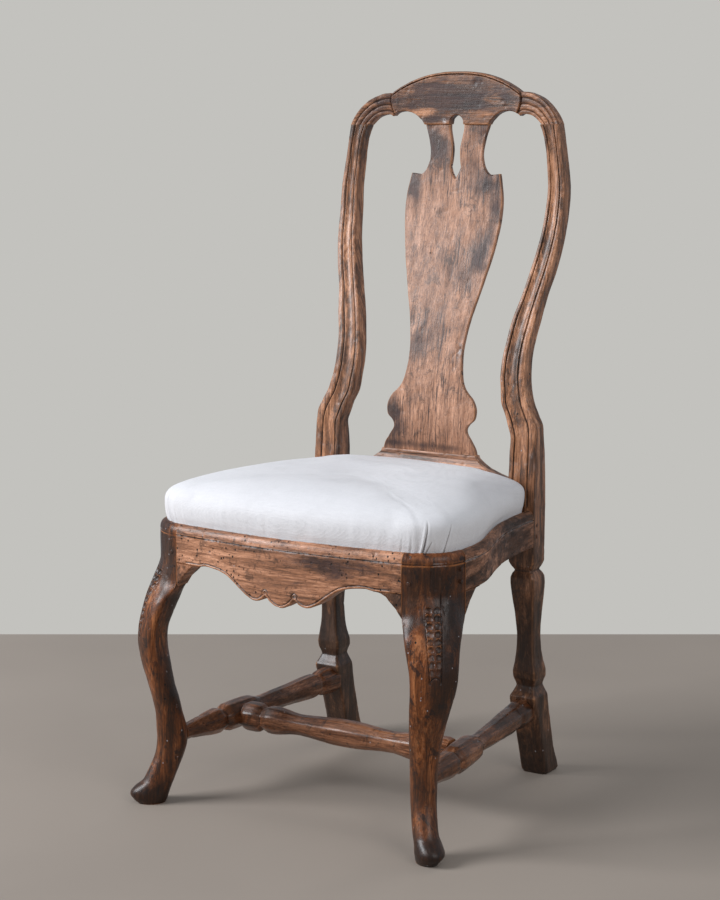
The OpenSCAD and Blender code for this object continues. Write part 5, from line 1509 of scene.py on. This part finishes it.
def swell_cloth(made, frames=18, cap=7.0):
    """Lets the cover fill out under pressure, with the hem and the frame's edge held."""
    mesh, scene = made.data, bpy.context.scene
    start = read_points(mesh)
    low = np.flatnonzero(start[:, 2] < HELD_Z)
    made.vertex_groups.new(name="held").add(low.tolist(), 1.0, "REPLACE")
    soft = made.modifiers.new("Cloth", "CLOTH")
    for key, value in (("vertex_group_mass", "held"), ("use_pressure", True), ("uniform_pressure_force", 3.0),
                       ("tension_stiffness", 30), ("compression_stiffness", 30), ("bending_stiffness", 3),
                       ("quality", 6)):
        setattr(soft.settings, key, value)
    soft.settings.effector_weights.gravity = 0
    soft.point_cache.frame_start, soft.point_cache.frame_end = 1, frames
    for number in range(1, frames + 1):
        scene.frame_set(number)
    end = read_points(evaluated(made).to_mesh())
    made.modifiers.remove(soft)
    scene.frame_set(1)
    move = smooth_field(mesh, end - start, 8)
    move[low] = 0
    far = np.linalg.norm(move, axis=1)
    move *= (np.minimum(far, cap) / np.maximum(far, 1e-6))[:, None]
    write_points(mesh, start + move)


# Pleats gathered at the seat's front corners: place along the corner, lean, length and depth
PLEATS = [(-44, 0.05, 22, 0.6), (-31, 0.0, 26, 0.7), (-22, 0.1, 16, 0.9), (-13, 0.17, 42, 4.2), (-8, 0.5, 16, 1.8),
          (4, 0.0, 16, 0.7), (10, 0.1, 18, 0.6), (19.5, 0.36, 38, 4.2), (30, 0.2, 20, 0.7), (42, 0.1, 24, 0.6)]


def crease(p, n, depth_scale):
    """Pleats at the corners, softer pulls along the sides from the hem, and the shade inside the deep pleats."""
    shift, shadow = np.zeros(len(p)), np.zeros(len(p))
    corner_x, corner_y, reach, hem_z = HALF_W - 30.0, FRONT_Y + 46.0, 70, 424
    rise = p[:, 2] - hem_z
    for side, scale in ((1, 1.0), (-1, 0.7)):
        dx, dy = p[:, 0] * side - corner_x, p[:, 1] - corner_y
        # distance round the corner, measured along the diagonal's cross direction
        s = (dx + dy) * DIAGONAL * 1.15
        place = (dx > -reach) & (dy < reach) & (n[:, 2] < 0.8)
        for at, lean, length, depth in PLEATS:
            x = s - at - lean * rise
            fade = unit(1 - rise / length) ** 0.7 * unit((rise + 8) / 8)
            fold = -bell(x, 1.2) + 0.5 * bell(x + 3.0, 1.9) + 0.2 * bell(x - 4, 3)
            shift += np.where(place, depth * scale * fade * fold, 0)
            if depth > 1.5:
                shadow = np.maximum(shadow, np.where(place, bell(x - 0.3, 0.85) * fade ** 0.5, 0))
    angle, still = np.arctan2(p[:, 1] - SEAT_MIDDLE, p[:, 0]), np.zeros(len(p))
    wall = unit((470 - p[:, 2]) / 40) * unit((p[:, 2] - SEAT_H) / 8)
    ripple = noise3(np.stack([angle * 26, p[:, 2] * 0.02, still], 1), 1.0, 77)
    ripple += 0.5 * noise3(np.stack([angle * 60, p[:, 2] * 0.03, still], 1), 1.0, 78)
    shift += 0.55 * wall * ripple * np.clip((-p[:, 1] - 60) / 100, 0.25, 1)
    shift += 1.2 * noise3(p, 90, 79) * unit((p[:, 2] - 430) / 30)
    return shift * depth_scale, shadow * depth_scale


def build_cushion():
    made = loops_object("linen_cushion", cushion_loops(), strips=True)
    swell_cloth(made)
    finish_shading(made, 60)
    fine = made.modifiers.new("Fine", "SUBSURF")
    fine.levels = fine.render_levels = 1
    mesh, old = bpy.data.meshes.new_from_object(evaluated(made)), made.data
    made.modifiers.remove(fine)
    made.data = mesh
    bpy.data.meshes.remove(old)
    mesh.name = "linen_cushion"
    p, n = read_points(mesh), read_normals(mesh)
    shift, shadow = crease(p, n, sizes().pleats)
    write_points(mesh, p + n * (shift * unit((p[:, 2] - 412.6) / 4))[:, None])
    # the hollow attribute carries painted shade for the linen: its concave folds, and the shadow inside the deep
    # pleats
    hollow = unit(-curvature(mesh, 3) * 3) * (p[:, 2] > 420)
    set_attribute(mesh, "hollow", np.maximum(0.6 * hollow, shadow))
    finish_shading(made, 60)
    put(made, material("linen"), "seat", "linen", "linen_cover", "stuffing")


def build_webbing():
    """Three long strips laced over and under four cross strips, on the frame's members."""
    front, rear = FRONT_Y + 0.018 * SEAT_D + 12 + 57, POST_Y + 11 - 45
    middle_z, thick, lift, half, lap = 432.25, 1.4, 0.75, 28, 22
    wide_front, wide_rear = 195, 141
    xs = [(i - 1) * 2 * wide_rear / 3 for i in range(3)]
    ys = [front + (rear - front) * (i + 0.5) / 4 for i in range(4)]

    def strip(at, crossings, start, end, order, first):
        s = np.linspace(start, end, 120)
        signs = [1 if (k + first) % 2 else -1 for k in range(len(crossings))]
        wave = sum(sign * np.exp(-((s - c) / 30.0) ** 4) for sign, c in zip(signs, crossings))
        across = np.linspace(-half, half, 15)
        sides = np.concatenate([np.stack([across, np.full(15, thick / 2)], 1),
                                np.stack([across[::-1], np.full(15, -thick / 2)], 1)])
        loops = np.zeros((len(s), len(sides), 3))
        for k, (v, rise) in enumerate(sides):
            fill(loops, k, s, at + v, middle_z + lift * wave + rise)
        return loops[:, :, order]

    longs = [strip(x, ys, front - lap, rear + lap, [1, 0, 2], i) for i, x in enumerate(xs)]
    crosses = []
    for i, y in enumerate(ys):
        reach = wide_front + (wide_rear - wide_front) * (i + 0.5) / 4 + lap
        crosses.append(strip(y, xs, -reach, reach, [0, 1, 2], i + 1))
    for loops, name, node in ((longs, "long_webbing_cloth", "long_webbing"),
                              (crosses, "cross_webbing_cloth", "cross_webbing")):
        made = loops_object(name, *loops)
        set_attribute(made.data, "hollow", np.zeros(len(made.data.vertices)))
        finish_shading(made, 40)
        put(made, material("webbing"), "seat", "webbing", node)


# ---------------------------------------------------------------- stage

CAMERA_PLACE = (1.5808, -2.5393, 0.9897)
CAMERA_LENS = 81.6
CAMERA_TURN = 32.25
CAMERA_TILT = 8.97
LAMPS_AIM = (0, 0, 0.45)
# Each lamp's name, place, size, power and colour
LAMPS = [("window", (-2.4, -2.2, 2.15), (1.6, 1.6), 135, (0.95, 0.97, 1.0)),
         ("room", (2.4, -1.2, 1.9), (1.6, 1.6), 20, (1.0, 0.98, 0.96)),
         ("back", (0.3, 2.4, 2.2), (1.6, 1.0), 14, (1.0, 0.99, 0.97))]


def build_stage():
    scene = bpy.context.scene
    scene.view_settings.view_transform = "Standard"
    lens = bpy.data.cameras.new("Camera")
    lens.sensor_width, lens.lens, lens.dof.use_dof = 36.0, CAMERA_LENS, False
    camera = add_object("Camera", lens)
    turn = math.radians(CAMERA_TURN)
    camera.location = CAMERA_PLACE
    camera.rotation_euler = (math.radians(90 - CAMERA_TILT), 0, turn)
    scene.camera = camera
    away = np.array([-math.sin(turn), math.cos(turn)])
    side = np.array([math.cos(turn), math.sin(turn)])
    far, near, wide = 0.94, 6.0, 5.0
    corners = [away * a + side * b for a, b in ((far, -wide), (far, wide), (-near, wide), (-near, -wide))]
    mesh = bpy.data.meshes.new("floor")
    mesh.from_pydata([(x, y, 0) for x, y in corners], [], [(0, 3, 2, 1)])
    n = Nodes("pale_floor")
    soft = n.noise(n.mapping((1.4, 1.4, 1.4)), detail=3, rough=0.5)
    colour = n.ramp(soft, (0.35, linear(*shade(tint("floor"), 0.96))), (0.65, linear(*tint("floor"))))
    mesh.materials.append(n.surface({"Base Color": colour, "Roughness": 0.7, "Specular IOR Level": 0.2}))
    add_object("floor", mesh)

    for name, place, size, power, colour in LAMPS:
        data = bpy.data.lights.new(name, "AREA")
        data.shape = "RECTANGLE"
        data.size, data.size_y = size
        data.energy, data.color = power, colour
        lamp = add_object(name, data)
        lamp.location = place
        lamp.rotation_euler = (Vector(LAMPS_AIM) - Vector(place)).to_track_quat("-Z", "Y").to_euler()
        # the lamp behind would show as broken glints along the crest's upper edge
        lamp.visible_glossy = name != "back"

    world = bpy.data.worlds.new("Room")
    scene.world = world
    world.use_nodes = True
    world.node_tree.nodes.clear()

    def add(kind, inputs=None, **values):
        return add_node(world.node_tree, kind, inputs, **values).outputs

    path = add("ShaderNodeLightPath")
    seen = add("ShaderNodeMath", {0: path["Is Camera Ray"], 1: path["Is Transmission Ray"]}, operation="MAXIMUM")
    light = add("ShaderNodeBackground", {"Color": (0.85, 0.92, 1.0, 1), "Strength": 0.36})
    wall = add("ShaderNodeBackground", {"Color": linear(*tint("wall"))})
    both = add("ShaderNodeMixShader", {0: seen[0], 1: light[0], 2: wall[0]})
    add("ShaderNodeOutputWorld", {"Surface": both[0]})


# ---------------------------------------------------------------- settings, operators and panel

def size_property(name, description, default, low, high):
    return FloatProperty(name=name, description=description, default=default, min=low, max=high,
                         subtype="DISTANCE", unit="LENGTH")


def colour_property(name, description, r, g, b):
    return FloatVectorProperty(name=name, description=description, default=(r / 255, g / 255, b / 255),
                               min=0.0, max=1.0, size=3, subtype="COLOR_GAMMA")


class ChairSizes(bpy.types.PropertyGroup):
    """Sizes of the soft seat and depths of the carving."""
    crown: size_property("Crown", "Height of the cushion's crown above the rails", 0.065, 0.05, 0.075)
    swell: size_property("Swell", "How far the cushion's sides swell over the lip", 0.005, 0.0, 0.008)
    carving: FloatProperty(name="Carving", description="Depth of the knee's carving", default=1.0, min=0.0,
                           max=1.5, subtype="FACTOR")
    pleats: FloatProperty(name="Pleats", description="Depth of the cover's pleats and pulls", default=1.0,
                          min=0.0, max=1.6, subtype="FACTOR")
    peg_radius: size_property("Peg radius", "Radius of the pegs through the tenons", 0.003, 0.0025, 0.0035)
    tack_radius: size_property("Tack radius", "Radius of the tacks' heads", 0.0035, 0.003, 0.004)
    pin_seed: IntProperty(name="Pin seed", description="Seed of the pegs' and tacks' small differences",
                          default=7, min=0)


class ChairColours(bpy.types.PropertyGroup):
    """Base colours of the woods, the linen and the stage."""
    rail: colour_property("Rails", "Middle tone of the seat rails", 164, 112, 82)
    leg: colour_property("Front legs", "Middle tone of the front legs", 122, 66, 28)
    back: colour_property("Posts", "Middle tone of the posts and the crest", 152, 102, 70)
    splat: colour_property("Splat", "Middle tone of the splat and the shoe", 166, 119, 92)
    stretcher: colour_property("Stretchers", "Middle tone of the stretchers", 112, 66, 38)
    patina: colour_property("Patina", "Old dark stain on the back and the front rail", 58, 42, 42)
    wax: colour_property("Wax", "Old dark wax on the legs, posts, side rails and stretchers", 42, 24, 14)
    linen: colour_property("Linen", "The cover's linen", 240, 239, 242)
    floor: colour_property("Floor", "The stage's floor", 160, 149, 139)
    wall: colour_property("Backdrop", "The colour seen behind the chair", 195, 194, 190)


class CHAIR_OT_stage(bpy.types.Operator):
    """Set the camera, the floor, the lamps and the backdrop."""
    bl_idname = "chair.stage"
    bl_label = "Stage"

    def execute(self, context):
        build_stage()
        return {"FINISHED"}


class CHAIR_OT_rails(bpy.types.Operator):
    """Make the four seat rails and the knee brackets."""
    bl_idname = "chair.rails"
    bl_label = "Seat rails"

    def execute(self, context):
        # the right rail and brackets take the darker finish, which is painted shade
        finishes = ("rail_side_r", "rail_side_l")
        build_front_rail()
        put_mirrored(build_side_rail("right_side_rail_wood", 25), "side_rail", "rail_wood", finishes)
        build_rear_rail()
        for front, node, seed in ((True, "front_bracket", 61), (False, "side_bracket", 63)):
            put_mirrored(build_bracket("right_%s_wood" % node, front, seed), node, "leg_wood", finishes)
        return {"FINISHED"}


class CHAIR_OT_front_legs(bpy.types.Operator):
    """Make the two carved front legs."""
    bl_idname = "chair.front_legs"
    bl_label = "Front legs"

    def execute(self, context):
        put_pair(build_front_leg(), "front_leg", "leg_wood", ("leg_r", "leg_l"), LEG_PLACES, 71, 0.5)
        return {"FINISHED"}


class CHAIR_OT_posts(bpy.types.Operator):
    """Make the two posts, each a rear leg and a moulded upright in one."""
    bl_idname = "chair.posts"
    bl_label = "Posts"

    def execute(self, context):
        put_pair(build_post(), "post", "back_wood", ("post_r", "post_l"), POST_PLACES, 81, 0.45)
        return {"FINISHED"}


class CHAIR_OT_back(bpy.types.Operator):
    """Make the crest rail, the splat and its shoe."""
    bl_idname = "chair.back"
    bl_label = "Crest, splat and shoe"

    def execute(self, context):
        build_crest()
        build_splat()
        build_shoe()
        return {"FINISHED"}


class CHAIR_OT_stretchers(bpy.types.Operator):
    """Make the two side stretchers and the cross stretcher."""
    bl_idname = "chair.stretchers"
    bl_label = "Stretchers"

    def execute(self, context):
        build_stretchers()
        return {"FINISHED"}


class CHAIR_OT_pins(bpy.types.Operator):
    """Set the pegs in the joints and the tacks under the seat."""
    bl_idname = "chair.pins"
    bl_label = "Pegs and tacks"

    def execute(self, context):
        tree, seed = pin_tree(), sizes().pin_seed
        for name, places, length in (("front_leg_pegs", leg_pegs(), PEG_L), ("post_pegs", post_pegs(), PEG_L),
                                     ("crest_pegs", crest_pegs(), CREST_PEG_L)):
            made = set_pins(name + "_wood", both_ways(places), tree, Finish=material("peg"), Dome=PEG_DOME,
                            Sides=PIN_SIDES, Radius=sizes().peg_radius, Length=length * MM, Seed=seed)
            put(made, material("peg"), "chair", "peg_wood", name)
        made = set_pins("cover_tacks_steel", both_ways(tacks()), tree, Finish=material("steel"), Dome=TACK_DOME,
                        Sides=PIN_SIDES, Radius=sizes().tack_radius, Length=TACK_L * MM, Seed=seed + 1)
        put(made, material("steel"), "seat", "tack_steel", "cover_tacks")
        return {"FINISHED"}


class CHAIR_OT_cushion(bpy.types.Operator):
    """Make the linen cushion with its hem and pleats."""
    bl_idname = "chair.cushion"
    bl_label = "Linen cushion"

    def execute(self, context):
        build_cushion()
        return {"FINISHED"}


class CHAIR_OT_seat_frame(bpy.types.Operator):
    """Finish the seat's frame, webbing and hessian."""
    bl_idname = "chair.seat_frame"
    bl_label = "Seat frame"

    def execute(self, context):
        for node, key in (("seat_frame_front", "bare_x"), ("seat_frame_rear", "bare_x"),
                          ("seat_frame_left", "bare_y"), ("seat_frame_right", "bare_y"), ("hessian", "hessian")):
            dress_node(node, material(key))
        build_webbing()
        return {"FINISHED"}


OPERATORS = (CHAIR_OT_stage, CHAIR_OT_rails, CHAIR_OT_front_legs, CHAIR_OT_posts, CHAIR_OT_back,
             CHAIR_OT_stretchers, CHAIR_OT_pins, CHAIR_OT_cushion, CHAIR_OT_seat_frame)


class CHAIR_PT_panel(bpy.types.Panel):
    """Lists the chair's pieces and settings."""
    bl_idname = "CHAIR_PT_panel"
    bl_label = "Side chair"
    bl_space_type = "VIEW_3D"
    bl_region_type = "UI"
    bl_category = "Chair"

    def draw(self, context):
        for group in (context.scene.chair_sizes, context.scene.chair_colours):
            box = self.layout.box()
            for key in group.__annotations__:
                box.prop(group, key)
        for operator in OPERATORS:
            self.layout.operator(operator.bl_idname)


CLASSES = (ChairSizes, ChairColours) + OPERATORS + (CHAIR_PT_panel,)


def register():
    for item in CLASSES:
        bpy.utils.register_class(item)
    bpy.types.Scene.chair_sizes = PointerProperty(type=ChairSizes)
    bpy.types.Scene.chair_colours = PointerProperty(type=ChairColours)


def unregister():
    del bpy.types.Scene.chair_colours
    del bpy.types.Scene.chair_sizes
    for item in reversed(CLASSES):
        bpy.utils.unregister_class(item)


def main():
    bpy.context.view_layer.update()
    register()
    bpy.ops.chair.stage()
    bpy.ops.chair.rails()
    bpy.ops.chair.front_legs()
    bpy.ops.chair.posts()
    bpy.ops.chair.back()
    bpy.ops.chair.stretchers()
    bpy.ops.chair.pins()
    bpy.ops.chair.cushion()
    bpy.ops.chair.seat_frame()


if __name__ == "__main__":
    main()
